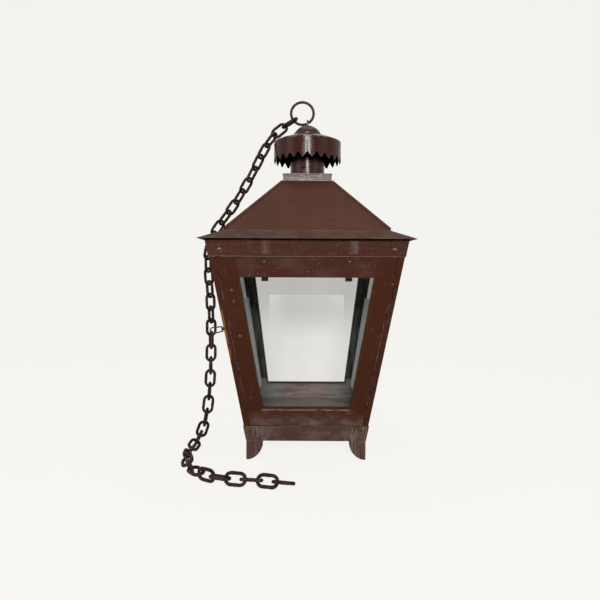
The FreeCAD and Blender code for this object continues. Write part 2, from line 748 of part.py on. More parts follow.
# ---------------------------------------------------------------- the door
def door_frame():
    """A flat door with its top and side edges and its window's edge turned in."""
    body = new_body("door_body")
    gauge, depth = S.sheet_gauge, S.door_return
    pad_inwards(body, "door_face", gauge, door_edge.corners(), window.corners())
    lip = kept("window_lip", window.grown(gauge))
    pad_inwards(body, "door_window_lip", depth, lip.corners(), window.corners())
    inner = kept("door_inner", door_edge.grown(-gauge))
    lean = (door_edge.half_high - door_edge.half_low) / (door_edge.high - door_edge.low)
    stop = door_edge.low + S.return_stop
    outer_stop = door_edge.half_low + lean * S.return_stop
    inner_stop = inner.half_low + lean * (S.return_stop - gauge)
    edge = [(-outer_stop, stop), (-inner_stop, stop), (-inner.half_high, inner.high),
            (inner.half_high, inner.high), (inner_stop, stop), (outer_stop, stop),
            (door_edge.half_high, door_edge.high), (-door_edge.half_high, door_edge.high)]
    pad_inwards(body, "door_edge_return", depth, edge)
    keep(body, "door_frame", wall_frame(FRONT))


def on_wall(side, across, level, out=0.0):
    """A place on a sloping wall: across it, at a height above the case's bottom, and out from it."""
    frame = wall_frame(side)
    point = Vector(as_size(across).number, -as_size(out).number, as_size(level).number * slope.number)
    return Placement(frame.multVec(point), frame.Rotation)


def rivet_heads(name, radius, places):
    """Low conical rivet heads that stand on walls; each place is a wall frame's placement."""
    face_out = Rotation(X_AXIS, TURN)
    heads = []
    for place in places:
        head = Part.makeCone(radius, radius * RIVET_TOP, radius * RIVET_RISE)
        head.Placement = place.multiply(Placement(Vector(), face_out))
        heads.append(head)
    return group(name, heads)


def rivets():
    level = S.case_height - S.header_height * 2 / 3
    side = half_at(level) - S.post_leg * 2
    out = S.sheet_gauge + S.pin_play
    places = [on_wall(wall, sign * side.number, level, out)
              for wall in range(4) for sign in (-1, 1)]
    keep(rivet_heads("header_rivet_set", S.rivet_radius.number, places), "header_rivets")
    top = door_high - S.stud_drop
    clip_side = S.window_high.number * CLIP_SHARE
    heads = [on_wall(FRONT, sign * clip_side, top, S.pin_play) for sign in (-1, 1)]
    for share in STUD_SHARES:
        level = (window.low + (window.high - window.low) * share) / slope
        across = window.half_low + (window.half_high - window.half_low) * share + S.stud_inset
        heads.append(on_wall(FRONT, -across, level, S.pin_play))
    keep(rivet_heads("door_rivet_set", S.stud_radius.number, heads), "door_rivets")


def door_glass():
    depth = derive("door_pane_depth", S.door_return + S.fit_gap)
    pane("door_glass", window, FRONT, depth)


def bent_clip(name, width, drop, behind, over):
    """A cranked strap: flat on the sheet, over the lip and the glass, then down behind them."""
    gauge = S.sheet_gauge
    body = new_body(name)
    depth = behind + gauge
    profile = [(0, 0), (gauge, 0), (gauge, -over + gauge), (depth, -over + gauge),
               (depth, -drop), (behind, -drop), (behind, -over), (0, -over)]
    sketch = new_sketch(body, f"{name}_side", "YZ_Plane", profile)
    pad = add_feature(body, "Pad", f"{name}_run", sketch, Length=width)
    pad.Midplane = True
    return body


def door_clips():
    """Two clips that hang from the door's top rail and hold its glass."""
    behind = S.door_return + S.pane_gauge + S.fit_gap * 2 - S.sheet_gauge
    over = S.door_upper_rail - S.pane_cover * 2.5
    drop = S.door_upper_rail + S.clip_drop
    clip = bent_clip("door_clip", S.clip_width, drop, behind, over)
    doc.recompute()
    shapes = []
    for sign in (-1, 1):
        copy = clip.Shape.copy()
        across = sign * S.window_high.number * CLIP_SHARE
        frame = wall_frame(FRONT)
        top = door_edge.high.number - S.sheet_gauge.number - 1
        seat = frame.multVec(Vector(across, S.sheet_gauge.number + S.pin_play.number, top))
        copy.Placement = Placement(seat, frame.Rotation)
        shapes.append(copy)
    keep(group("door_clip_set", shapes), "door_clips")


def pane_clips():
    """Four small turn-over tabs on each fixed frame hold its glass on the lip."""
    shapes = []
    inner = (frame_depth + S.sheet_gauge).number
    reach = (S.frame_lip - S.sheet_gauge + S.pane_gauge + S.fit_gap * 2).number
    gauge, width = S.sheet_gauge.number, S.clip_width.number
    for side in (RIGHT, BACK, LEFT):
        for level in (0.25, 0.7):
            height = case_opening.low.number + level * (case_opening.high - case_opening.low).number
            lean = (case_opening.half_high - case_opening.half_low).number
            edge = case_opening.half_low.number + lean * level + 2 * gauge + S.clip_margin.number
            for sign in (-1, 1):
                leg = Part.makeBox(gauge, reach + gauge, width)
                tab = Part.makeBox(TAB_REACH, gauge, width, Vector(gauge - TAB_REACH, reach, 0))
                clip = leg.fuse(tab).removeSplitter()
                if sign < 0:
                    clip = clip.mirror(Vector(), X_AXIS)
                place = Vector(sign * edge, inner + 0.05, height - width / 2)
                clip = clip.copy()
                clip.Placement = wall_frame(side).multiply(Placement(place, Rotation())).multiply(
                    clip.Placement)
                shapes.append(clip)
    keep(group("pane_clip_set", shapes), "pane_clips")


# ---------------------------------------------------------------- the hinges
def hinge_frame(level):
    """Local frame of a hinge: z along the pin, x towards the post, y straight in."""
    along = Vector(taper.number, -taper.number, 1).normalize()
    lean = math.atan(taper.number)
    inwards = Vector(0, math.cos(lean), math.sin(lean))
    level = as_size(level)
    across = half_at(level) - S.post_leg * HALF
    seat = on_wall(FRONT, across, level, S.knuckle_radius + S.fit_gap).Base
    return Placement(seat, Rotation(inwards.cross(along), inwards, along, "ZXY"))


def leaf(spans, plate_from, plate_to):
    """Knuckles over some spans of the pin, joined to one flat leaf."""
    outer, inner = S.knuckle_radius.number, (S.pin_radius + S.pin_play).number
    length = (S.knuckle_length * 3 + S.knuckle_gap * 2).number
    back = S.knuckle_radius.number
    gauge = S.leaf_gauge.number
    plate = Part.makeBox(abs(plate_to - plate_from), gauge, length,
                         Vector(min(plate_from, plate_to), back - gauge, -length / 2))
    for low, high in spans:
        knuckle = Part.makeCylinder(outer, high - low, Vector(0, 0, low))
        neck = Part.makeBox(abs(plate_from), gauge, high - low,
                            Vector(min(0, plate_from), back - gauge, low))
        plate = plate.fuse([knuckle, neck])
    bore = Part.makeCylinder(inner, length * 2, Vector(0, 0, -length))
    return plate.cut(bore).removeSplitter()


def hinges():
    knuckle, gap = S.knuckle_length.number, S.knuckle_gap.number
    clear = S.knuckle_radius.number + gap
    middle = [(-knuckle / 2, knuckle / 2)]
    ends = [(-knuckle * 1.5 - gap, -knuckle / 2 - gap), (knuckle / 2 + gap, knuckle * 1.5 + gap)]
    case_shapes, door_shapes, pins = [], [], []
    for level in (S.lower_hinge, S.upper_hinge):
        frame = hinge_frame(level)
        for spans, start, stop, shapes in (
                (ends, clear, S.case_leaf.number, case_shapes),
                (middle, -clear, -S.door_leaf.number, door_shapes)):
            shape = leaf(spans, start, stop)
            shape.Placement = frame
            shapes.append(shape)
        reach = knuckle * 3 + gap * 4
        pin = Part.makeCylinder(S.pin_radius.number, reach, Vector(0, 0, -reach / 2))
        pin.Placement = frame
        pins.append(pin)
    keep(group("case_leaf_set", case_shapes), "case_hinge_leaves")
    keep(group("door_leaf_set", door_shapes), "door_hinge_leaves")
    keep(group("pin_set", pins), "hinge_pins")
    axis = hinge_frame(S.lower_hinge)
    print("door hinge axis", axis.Base, axis.Rotation.multVec(Z_AXIS))


# ---------------------------------------------------------------- the latch
def latch_frame():
    """z along the front left corner, x out to the left, at the latch's pivot."""
    along = Vector(-taper.number, -taper.number, 1).normalize()
    side = half_at(S.latch_level).number + S.latch_stand.number
    seat = Vector(-side, -side, (S.foot_height + S.latch_level).number)
    out = Vector(-1, 0, 0)
    out = (out - along * out.dot(along)).normalize()
    return Placement(seat, Rotation(out, along.cross(out), along, "ZXY"))


def latch():
    frame = latch_frame()
    wire, barrel = S.latch_wire.number, S.latch_barrel.number
    stand = S.latch_stand.number
    outer = wire + S.pin_play.number + 0.7
    eye = Part.makeCylinder(outer, barrel, Vector(0, 0, -barrel / 2))
    web = Part.makeBox(stand * 1.414 - 0.25, 0.9, barrel, Vector(0, -0.45, -barrel / 2))
    corner = Vector(stand, stand, 0)
    local = frame.Rotation.inverted().multVec(corner)
    web.Placement = Placement(Vector(), Rotation(Z_AXIS, math.degrees(math.atan2(local.y, local.x))))
    bore = Part.makeCylinder(wire + S.pin_play.number, barrel * 2, Vector(0, 0, -barrel))
    eye = eye.fuse(web).cut(bore).removeSplitter()
    eye.Placement = frame
    keep(group("latch_eye_form", [eye]), "latch_eye")
    loop = latch_loop_wire()
    loop.Placement = frame
    keep(group("latch_loop_form", [loop]), "latch_loop")
    print("latch axis", frame.Base, frame.Rotation.multVec(Z_AXIS))
    print("ring axis", lug_level.number + 3 * S.pin_play.number, "ring rise", ring_rise.number)


def bar_between(start, end, radius):
    """A round bar with a ball at its start."""
    run = end - start
    return Part.makeCylinder(radius, run.Length, start, run).fuse(Part.makeSphere(radius, start))


def latch_loop_wire():
    """A closed wire loop: a straight back in the eye, and a rounded nose at its far end."""
    wire, nose = S.latch_wire.number, S.latch_round.number
    back = S.latch_barrel.number / 2 + wire + 0.5
    centre = S.latch_reach.number - nose - wire
    corners = [Vector(centre, 0, nose), Vector(0, 0, back), Vector(0, 0, -back),
               Vector(centre, 0, -nose)]
    bars = [bar_between(start, end, wire) for start, end in zip(corners, corners[1:])]
    bars.append(Part.makeSphere(wire, corners[-1]))
    whole = Part.makeTorus(nose, wire, Vector(centre, 0, 0), Y_AXIS)
    front = Part.makeBox(nose * 2, nose * 2, nose * 3, Vector(centre, -nose, -nose * 1.5))
    return whole.common(front).fuse(bars).removeSplitter()


door_frame()
door_glass()
door_clips()
pane_clips()
rivets()
hinges()
latch()


# ---------------------------------------------------------------- the chain
# The chain's middle line: from the ring to the left eave, down beside the case, and along the floor.
ROUTE = [
    (-19.8, 0, 578.15), (-38, 0, 567), (-57, -1, 553), (-73, -1, 532), (-84, -1, 509),
    (-95, 0, 486), (-107, 2, 463), (-120, 4, 441), (-134, 7, 420), (-150, 10, 399),
    (-167.5, 12, 377.5), (-179, 14, 354), (-182.5, 15, 326), (-179.5, 15, 296),
    (-176, 15, 255), (-174, 15, 210), (-174, 14.5, 165), (-174.5, 13.5, 125),
    (-175.5, 12, 92), (-177, 6, 60), (-179.5, -8, 34), (-182.5, -28, 18.5), (-186, -54, 12),
    (-189, -86, 11), (-188, -120, 11), (-179, -152, 11), (-161, -180, 11), (-133, -197, 11),
    (-100, -205, 11), (-68, -206, 11), (-42, -212, 11), (-18, -220, 11), (6, -218, 11.5),
]
# Turn of every second link about the chain's line, at shares of its length, in degrees.
TWIST = [(0.0, 0), (0.1, 45), (0.42, 45), (0.55, 85), (0.72, 95), (0.8, 68), (1.0, 68)]
TWIST_PLAY = 10.0


def link_outline():
    """The middle line of one link's wire: a straight-sided loop with polygonal ends."""
    radius = (S.link_width.number - 2 * S.link_wire.number) / 2
    straight = (S.link_length.number - S.link_width.number) / 2
    points = []
    for step in range(5):
        turn = math.radians(-90 + 45 * step)
        points.append(Vector(straight + radius * math.cos(turn), radius * math.sin(turn), 0))
    return points + [Vector(-point.x, -point.y, 0) for point in points]


def link_solid():
    """One link with a six-sided wire, mitred at each corner of its middle line."""
    line = link_outline()
    rings = []
    for number, point in enumerate(line):
        before = (point - line[number - 1]).normalize()
        after = (line[(number + 1) % len(line)] - point).normalize()
        mitre = (before + after).normalize()
        stretch = 1 / mitre.dot(before)
        across = Z_AXIS.cross(mitre)
        rings.append([point + across * (S.link_wire.number * stretch * math.cos(angle))
                      + Z_AXIS * (S.link_wire.number * math.sin(angle))
                      for angle in (math.radians(60 * step) for step in range(6))])
    faces = []
    for number, ring in enumerate(rings):
        following = rings[(number + 1) % len(rings)]
        for side in range(6):
            other = (side + 1) % 6
            corners = [ring[side], ring[other], following[other], following[side], ring[side]]
            faces.append(Part.Face(Part.makePolygon(corners)))
    solid = Part.Solid(Part.Shell(faces))
    if solid.Volume < 0:
        solid.reverse()
    return solid


def smooth_route():
    """Straight runs joined by tangent arcs, as large as the two runs at each point allow."""
    points = [Vector(*point) for point in ROUTE]
    edges, start = [], points[0]
    for before, point, after in zip(points, points[1:], points[2:]):
        into, out = (point - before), (after - point)
        reach = 0.45 * min(into.Length, out.Length)
        turn = into.getAngle(out)
        into.normalize()
        out.normalize()
        first, last = point - into * reach, point + out * reach
        radius = reach / math.tan(turn / 2)
        bisector = (out - into).normalize()
        middle = point + bisector * (radius / math.cos(turn / 2) - radius)
        edges.append(Part.LineSegment(start, first).toShape())
        edges.append(Part.Arc(first, middle, last).toShape())
        start = last
    edges.append(Part.LineSegment(start, points[-1]).toShape())
    return Part.Wire(edges)


def walk(samples, start, stride):
    """The first sample after a place in the list that is one stride away from a point."""
    number, origin = start
    while number < len(samples) and samples[number].sub(origin).Length < stride:
        number += 1
    return number


def twist_at(share):
    for (low, first), (high, last) in zip(TWIST, TWIST[1:]):
        if share <= high:
            return first + (last - first) * (share - low) / (high - low)
    return TWIST[-1][1]


def crossed(before, along, wanted):
    """Near the wanted direction across a link, and nearly square to the link before."""
    carried = (before - along * before.dot(along)).normalize()
    square = along.cross(carried)
    turn = math.atan2(wanted.dot(square), wanted.dot(carried)) % math.pi
    turn = min(max(turn, math.radians(TURN - TWIST_PLAY)), math.radians(TURN + TWIST_PLAY))
    return carried * math.cos(turn) + square * math.sin(turn)


def chain_links():
    """Every link hooks the one before it, crossed by a quarter turn, and follows the route."""
    samples = smooth_route().discretize(Number=4000)
    half = (S.link_length.number - 2 * S.link_wire.number) / 2
    hook = 2 * S.link_wire.number + S.link_play.number
    link = link_solid()
    placed, near, place, across = [], samples[0], 0, Y_AXIS
    while True:
        seek = walk(samples, (place, near), 2 * half)
        if seek >= len(samples):
            return placed
        along = (samples[seek] - near).normalize()
        turn = twist_at(place / len(samples)) + TURN * (len(placed) % 2)
        level = Vector(along.y, -along.x, 0)
        level = level.normalize() if level.Length > 0.3 else Vector(0, 1, 0)
        if abs(along.z) > 0.5:
            level = Y_AXIS
        wanted = (level - along * level.dot(along)).normalize()
        wanted = Rotation(along, turn).multVec(wanted)
        across = crossed(across, along, wanted) if placed else wanted
        copy = link.copy()
        centre = near + along * half
        copy.Placement = Placement(centre, Rotation(along, across, along.cross(across), "XYZ"))
        placed.append(copy)
        near = centre + along * (half - hook)
        while place < len(samples) - 1 and (samples[place] - samples[seek]).Length > hook:
            place += 1
    return placed


def chain():
    links = chain_links()
    eave = [number for number, link in enumerate(links)
            if link.BoundBox.Center.z < eave_level.number][0]
    floor = [number for number, link in enumerate(links)
             if link.BoundBox.ZMin < 2 * S.link_width.number][0]
    keep(group("chain_upper_links", links[:eave]), "chain_upper")
    keep(group("chain_drop_links", links[eave:floor]), "chain_drop")
    keep(group("chain_floor_links", links[floor:]), "chain_floor")
    print("links", len(links), "route", round(smooth_route().Length))
    print("lowest", min(link.BoundBox.ZMin for link in links))


chain()


# ---------------------------------------------------------------- check and write
def write_parts():
    doc.recompute()
    for thing in doc.Objects:
        bad = {"Invalid", "Error"} & set(thing.State)
        if bad:
            raise RuntimeError(f"{thing.Name} is in state {bad}")
    os.makedirs("parts", exist_ok=True)
    for part in parts:
        if part.Shape.isNull() or not part.Shape.isValid():
            raise RuntimeError(f"{part.Label} has no valid shape")
        part.Shape.exportStep(f"parts/{part.Label}.step")
        print(part.Label, len(part.Shape.Solids), round(part.Shape.Volume))


write_parts()
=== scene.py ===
"""Looks of the hanging lantern: paint, iron, glass and a chain of round-wire links."""
import math
import random

import bmesh
import bpy
from mathutils import Matrix, Vector, noise

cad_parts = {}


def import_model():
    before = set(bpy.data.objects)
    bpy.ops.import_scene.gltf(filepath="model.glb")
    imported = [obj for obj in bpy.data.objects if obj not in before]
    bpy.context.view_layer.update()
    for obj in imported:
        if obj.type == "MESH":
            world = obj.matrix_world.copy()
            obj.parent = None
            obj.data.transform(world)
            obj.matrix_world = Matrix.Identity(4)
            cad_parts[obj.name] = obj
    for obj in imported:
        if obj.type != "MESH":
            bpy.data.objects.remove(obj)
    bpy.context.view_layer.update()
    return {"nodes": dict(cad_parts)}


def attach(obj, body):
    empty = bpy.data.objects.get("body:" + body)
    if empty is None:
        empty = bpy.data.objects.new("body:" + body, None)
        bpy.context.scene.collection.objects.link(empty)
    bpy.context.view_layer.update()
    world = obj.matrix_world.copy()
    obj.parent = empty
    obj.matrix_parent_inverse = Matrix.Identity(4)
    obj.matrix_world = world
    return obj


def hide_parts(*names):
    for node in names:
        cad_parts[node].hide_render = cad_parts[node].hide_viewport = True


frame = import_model()
nodes = frame["nodes"]

MM = 0.001


# ---------------------------------------------------------------- meshes
def new_piece(name, bm, body, material, smooth_below, replaced):
    """A mesh piece in the lantern's frame that rides on a body and stands for CAD nodes."""
    mesh = bpy.data.meshes.new(name)
    bmesh.ops.recalc_face_normals(bm, faces=bm.faces)
    bm.to_mesh(mesh)
    bm.free()
    piece = bpy.data.objects.new(name, mesh)
    bpy.context.scene.collection.objects.link(piece)
    mesh.materials.append(material)
    for face in mesh.polygons:
        face.use_smooth = True
    mesh.set_sharp_from_angle(angle=math.radians(smooth_below))
    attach(piece, body)
    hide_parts(*replaced)
    return piece


WIRE_SIDES = 12
WIRE_WOBBLE = 0.1
WOBBLE_SCALE = 150
WOBBLE_ROUND = 0.9


def wire_ring(bm, point, normal, side, radius, seed):
    """Corners round the wire at one point, each a little nearer or further out."""
    ring = []
    for step in range(WIRE_SIDES):
        angle = 2 * math.pi * step / WIRE_SIDES
        out = normal * math.cos(angle) + side * math.sin(angle)
        bump = noise.noise(point * WOBBLE_SCALE + out * WOBBLE_ROUND + Vector((seed, 0, 0)))
        ring.append(bm.verts.new(point + out * radius * (1 + WIRE_WOBBLE * bump)))
    return ring


def ring_shift(first, last):
    """How many steps the last ring of a closed wire is turned against the first."""
    return min(range(WIRE_SIDES), key=lambda turn: (last[0].co - first[turn].co).length)


def sweep(bm, line, radius, seed):
    """A slightly uneven wire bent into a closed loop along a line of points."""
    rings = []
    normal = None
    for number, point in enumerate(line):
        along = (line[(number + 1) % len(line)] - line[number - 1]).normalized()
        if normal is None:
            normal = along.orthogonal().normalized()
        normal = (normal - along * normal.dot(along)).normalized()
        rings.append(wire_ring(bm, point, normal, along.cross(normal), radius, seed))
    shift = ring_shift(rings[0], rings[-1])
    for number, first in enumerate(rings):
        second = rings[(number + 1) % len(rings)]
        turn = shift if first is rings[-1] else 0
        for step in range(WIRE_SIDES):
            following = (step + 1) % WIRE_SIDES
            bm.faces.new((first[step], first[following],
                          second[(following + turn) % WIRE_SIDES], second[(step + turn) % WIRE_SIDES]))


# ---------------------------------------------------------------- materials
class Shader:
    """A procedural material whose patterns are laid in the lantern's frame, in metres."""

    def __init__(self, name, roughness=0.5, specular=0.5):
        self.material = bpy.data.materials.new(name)
        self.material.use_nodes = True
        self.tree = self.material.node_tree
        self.surface = self.tree.nodes["Principled BSDF"]
        self.set(self.surface, Roughness=roughness, Specular_IOR_Level=specular)
        self.place = self.add("ShaderNodeTexCoord").outputs["Object"]
        self.parts = None

    def add(self, kind, **settings):
        node = self.tree.nodes.new(kind)
        for key, value in settings.items():
            setattr(node, key, value)
        return node

    def put(self, socket, value):
        """Feeds a socket from another one, or gives it a number or a colour."""
        if isinstance(value, bpy.types.NodeSocket):
            self.tree.links.new(value, socket)
        elif socket.type == "RGBA":
            socket.default_value = (*value, 1)
        else:
            socket.default_value = value

    def set(self, node, **values):
        for key, value in values.items():
            self.put(node.inputs[key.replace("_", " ")], value)

    def output(self, shader_socket):
        self.put(self.tree.nodes["Material Output"].inputs["Surface"], shader_socket)

    def math(self, operation, *values):
        node = self.add("ShaderNodeMath", operation=operation)
        for socket, value in zip(node.inputs, values):
            self.put(socket, value)
        return node.outputs[0]

    def plus(self, *values):
        return self.math("ADD", *values)

    def minus(self, *values):
        return self.math("SUBTRACT", *values)

    def times(self, *values):
        return self.math("MULTIPLY", *values)

    def dot(self, first, second):
        node = self.add("ShaderNodeVectorMath", operation="DOT_PRODUCT")
        self.put(node.inputs[0], first)
        self.put(node.inputs[1], second)
        return node.outputs["Value"]

    def axis(self, letter):
        if self.parts is None:
            self.parts = self.add("ShaderNodeSeparateXYZ")
            self.put(self.parts.inputs[0], self.place)
        return self.parts.outputs[letter]

    def aside(self):
        """How far a place is to either side of the lantern's middle."""
        return self.math("ABSOLUTE", self.axis("X"))

    def noise(self, scale, detail=4.0, stretch=None, rough=0.55):
        """Cloudy noise; stretch scales each axis, for grain that runs one way."""
        place = self.place
        if stretch:
            mapping = self.add("ShaderNodeMapping")
            self.set(mapping, Vector=self.place, Scale=stretch)
            place = mapping.outputs["Vector"]
        node = self.add("ShaderNodeTexNoise")
        self.set(node, Vector=place, Scale=scale, Detail=detail, Roughness=rough)
        return node.outputs["Fac"]

    def ramp(self, value, low, high):
        """Runs from low[1] at low[0] to high[1] at high[0], and stays level beyond both."""
        node = self.add("ShaderNodeMapRange", clamp=True, interpolation_type="SMOOTHSTEP")
        self.set(node, Value=value, From_Min=low[0], From_Max=high[0], To_Min=low[1], To_Max=high[1])
        return node.outputs["Result"]

    def above(self, value, low, high, least=0):
        """1 above the higher level and least below the lower one."""
        return self.ramp(value, (low, least), (high, 1))

    def below(self, value, low, high, least=0):
        """1 below the lower level and least above the higher one."""
        return self.ramp(value, (low, 1), (high, least))

    def between(self, value, low, high, soft):
        """1 between two levels, 0 outside them."""
        return self.times(self.above(value, low - soft, low + soft),
                          self.below(value, high - soft, high + soft))

    def both(self, *masks):
        result = masks[0]
        for mask in masks[1:]:
            result = self.times(result, mask)
        return result

    def mix(self, share, first, second):
        """A colour between two colours."""
        node = self.add("ShaderNodeMix", data_type="RGBA")
        for socket, value in zip((node.inputs[0], node.inputs[6], node.inputs[7]), (share, first, second)):
            self.put(socket, value)
        return node.outputs[2]

    def blend(self, share, first, second):
        """A number between two numbers."""
        node = self.add("ShaderNodeMix", data_type="FLOAT")
        for socket, value in zip((node.inputs[0], node.inputs[2], node.inputs[3]), (share, first, second)):
            self.put(socket, value)
        return node.outputs[0]

    def layer(self, share, under, over):
        """One shader laid over a share of another."""
        node = self.add("ShaderNodeMixShader")
        for socket, value in zip(node.inputs, (share, under, over)):
            self.put(socket, value)
        return node.outputs[0]

    def edge(self, radius):
        """1 at the sharp edges of a piece, 0 on its faces."""
        bevel = self.add("ShaderNodeBevel", samples=6)
        self.set(bevel, Radius=radius)
        flat = self.add("ShaderNodeNewGeometry").outputs["Normal"]
        return self.below(self.dot(bevel.outputs[0], flat), 0.985, 0.998)

    def facing(self, direction):
        """How far a face looks along X, Y or Z of the piece's own axes, which turn with its body."""
        split = self.add("ShaderNodeSeparateXYZ")
        self.put(split.inputs[0], self.add("ShaderNodeTexCoord").outputs["Normal"])
        return split.outputs[direction]

    def bump(self, height, distance, strength):
        node = self.add("ShaderNodeBump")
        self.set(node, Height=height, Distance=distance, Strength=strength)
        self.set(self.surface, Normal=node.outputs["Normal"])


BROWN = (0.05, 0.0134, 0.0056)
SCUFF = (0.17, 0.125, 0.108)
PALE_SCUFF = (0.18, 0.135, 0.12)
DEEP = (0.036, 0.0105, 0.0062)
# Painted shade for the faces inside the case, which light hardly reaches.
INSIDE_SHADE = (0.017, 0.016, 0.014)
# Near-black for painted shade and painted shadow.
PAINTED_SHADE_BLACK = (0.002, 0.0015, 0.0012)
WORN_EDGE = 0.0012
PAINT_RELIEF = 0.0006


class Paint(Shader):
    """Old brushed brown paint on sheet metal: mottled, streaked, and rubbed to grey in places."""

    def __init__(self, name, base, roughness=0.5, specular=0.06, upright=0.5, scuffs=0.5, rubbed=0.75):
        super().__init__(name, roughness=roughness, specular=specular)
        self.roughness = roughness
        cloud = self.noise(11, 4, rough=0.6)
        self.mottle = self.noise(95, 5, rough=0.7)
        self.grain = self.brush_marks(upright)
        darker = tuple(0.82 * c for c in base)
        paler = tuple(1.5 * c + 0.012 for c in base)
        self.tone = self.mix(self.above(cloud, 0.32, 0.68), darker, base)
        self.tone = self.mix(self.ramp(self.grain, (0.5, 0), (0.72, 0.3)), self.tone, paler)
        self.tone = self.mix(self.ramp(self.grain, (0.46, 0), (0.3, 0.55)), self.tone, DEEP)
        flecks = self.both(self.above(self.mottle, 0.56, 0.7), self.above(cloud, 0.4, 0.62, least=0.15))
        self.wear_and_painted_light(flecks, scuffs)
        self.wear_and_painted_light(self.both(self.edge(WORN_EDGE), self.above(self.noise(60, 4), 0.42, 0.6)), rubbed)

    def brush_marks(self, upright):
        """Fine streaks left by the brush; upright is the share of them that runs up and down."""
        long, short = 1 / 14, 1.0
        rising = self.noise(420, 3, stretch=(short, short, long), rough=0.6)
        level = self.noise(420, 3, stretch=(long, long, short), rough=0.6)
        return self.blend(upright, level, rising)

    def wear_and_painted_light(self, mask, share, colour=SCUFF):
        """Lays a colour over the paint under a mask: rubbed or dusty wear, and also painted shade and
        painted highlights.
        """
        self.tone = self.mix(self.times(mask, share), self.tone, colour)

    def inner(self, colour):
        """Painted shade: a dark colour on the faces that look in towards the lantern's axis."""
        normal = self.add("ShaderNodeTexCoord").outputs["Normal"]
        level = self.add("ShaderNodeVectorMath", operation="MULTIPLY")
        self.put(level.inputs[0], self.place)
        self.put(level.inputs[1], (1, 1, 0))
        mask = self.below(self.dot(normal, level.outputs[0]), -0.03, -0.01)
        self.wear_and_painted_light(mask, 1.0, colour)
        return mask

    def done(self, bump=0.5):
        self.set(self.surface, Base_Color=self.tone)
        relief = self.plus(self.grain, self.times(self.mottle, 0.6))
        rough = self.ramp(relief, (0.55, self.roughness - 0.1), (1.05, self.roughness + 0.16))
        self.set(self.surface, Roughness=rough)
        self.bump(relief, PAINT_RELIEF, bump)
        return self


# Where the paints change, in metres above the ground or from the lantern's middle. A pair is the two
# ends of a change or of a band; a lean is how much a side moves out over each metre of height.
WINDOW_LEAN = 0.17
WINDOW_SIDE = (0.050, 0.056)
DOOR_FOOT = (0.062, 0.082)
SILL = (0.0815, 0.0828)
SILL_ENDS = (0.068, 0.073)
SILL_CORNER = (0.0765, 0.081)
SILL_CORNER_SIDE = (0.064, 0.07)
RIVET_ROWS = (0.29, 0.31)
HEADER_FACE = (-0.14, -0.13)
STRAPS = (-0.0625, 0.0715)
STRAP_HALF = 0.0065
STRAP_HEIGHTS = (0.330, 0.351)
HEADER_HEM = (0.3258, 0.3268)
UNDER_EAVE = (0.3518, 0.3524)
FEET_FROM = (0.058, 0.066)
RUBBED_HEIGHTS = (0.154, 0.252)
POST_LEAN = 0.1795
POST_CORNER = (-0.1772, -0.1758)
BACK_RAIL_TOP = (0.0905, 0.0925)
BACK_RAIL_LIP = (0.0885, 0.0925)
BACK_RAIL_ENDS = (0.05, 0.068)
BACK_STILE_LEAN = 0.147
BACK_STILE_SIDE = (0.062, 0.075)
EAVE_FOLD = (0.3665, 0.369)
UNDER_COLLAR = (0.437, 0.457)
UNDER_COLLAR_SIDE = (0.02, 0.05)
UNDER_CROWN = (0.4955, 0.4985)
WEEP_HOLE = (-0.0061, 0.4845)
WEEP_SHADE = (0.0016, 0.0021)


def rail_mask(shader):
    """1 on the door's rails and 0 on its stiles, which lean with the window's sides."""
    side = shader.aside()
    lean = shader.times(shader.axis("Z"), WINDOW_LEAN)
    return shader.below(shader.minus(side, lean), *WINDOW_SIDE)


def case_paint():
    paint = Paint("case_paint", BROWN, upright=0.85, scuffs=0.25, rubbed=0.25)
    # Painted shade on the inward faces.
    paint.inner(INSIDE_SHADE)
    return paint.done()


def door_paint():
    """Stiles brushed up and down, rails brushed across and rubbed paler."""
    paint = Paint("door_paint", BROWN, upright=0.7, scuffs=0.22, rubbed=0.22)
    rail = rail_mask(paint)
    smear = paint.noise(55, 5, stretch=(0.5, 1, 1), rough=0.6)
    paint.wear_and_painted_light(paint.both(rail, paint.above(smear, 0.4, 0.7, least=0.2)), 0.14)
    foot = paint.below(paint.axis("Z"), *DOOR_FOOT)
    paint.wear_and_painted_light(paint.both(foot, paint.above(smear, 0.42, 0.66, least=0.25)), 0.4, PALE_SCUFF)
    flecks = paint.above(paint.noise(420, 3, rough=0.75), 0.6, 0.66)
    blot = paint.above(paint.noise(26, 3), 0.45, 0.6)
    paint.wear_and_painted_light(paint.both(rail, flecks, blot), 0.55, (0.22, 0.16, 0.145))
    sill_highlight_and_nicks(paint)
    # Painted shade on the inward faces.
    paint.inner((0.02, 0.018, 0.016))
    return paint.done()


def sill_highlight_and_nicks(paint):
    """The pale line under the window, a painted highlight along the sill's turned lip broken by nicks, and
    paler spots at its two ends.
    """
    # Painted highlight along the sill, broken by real nicks.
    sill = paint.between(paint.axis("Z"), *SILL, 0.0004)
    nicks = paint.above(paint.noise(210, 4, stretch=(0.35, 1, 1), rough=0.7), 0.4, 0.54, least=0.1)
    middle = paint.below(paint.aside(), *SILL_ENDS)
    paint.wear_and_painted_light(paint.both(sill, middle, nicks), 0.75, (0.3, 0.225, 0.19))
    corner = paint.both(paint.between(paint.axis("Z"), *SILL_CORNER, 0.0035),
                        paint.between(paint.aside(), *SILL_CORNER_SIDE, 0.0045))
    paint.wear_and_painted_light(corner, 0.3, (0.16, 0.115, 0.1))


def rivet_paint():
    """Dark heads with a painted highlight on their upper sides."""
    paint = Paint("rivet_paint", (0.032, 0.012, 0.008), roughness=0.4, specular=0.25, scuffs=0.3)
    # Painted highlight: the upward-facing sides of the heads made pale, more on the upper rows.
    rubbed = paint.above(paint.facing("Z"), 0.1, 0.5)
    high = paint.above(paint.axis("Z"), *RIVET_ROWS, least=0.3)
    paint.wear_and_painted_light(paint.both(rubbed, high), 0.65, (0.33, 0.27, 0.25))
    return paint.done()


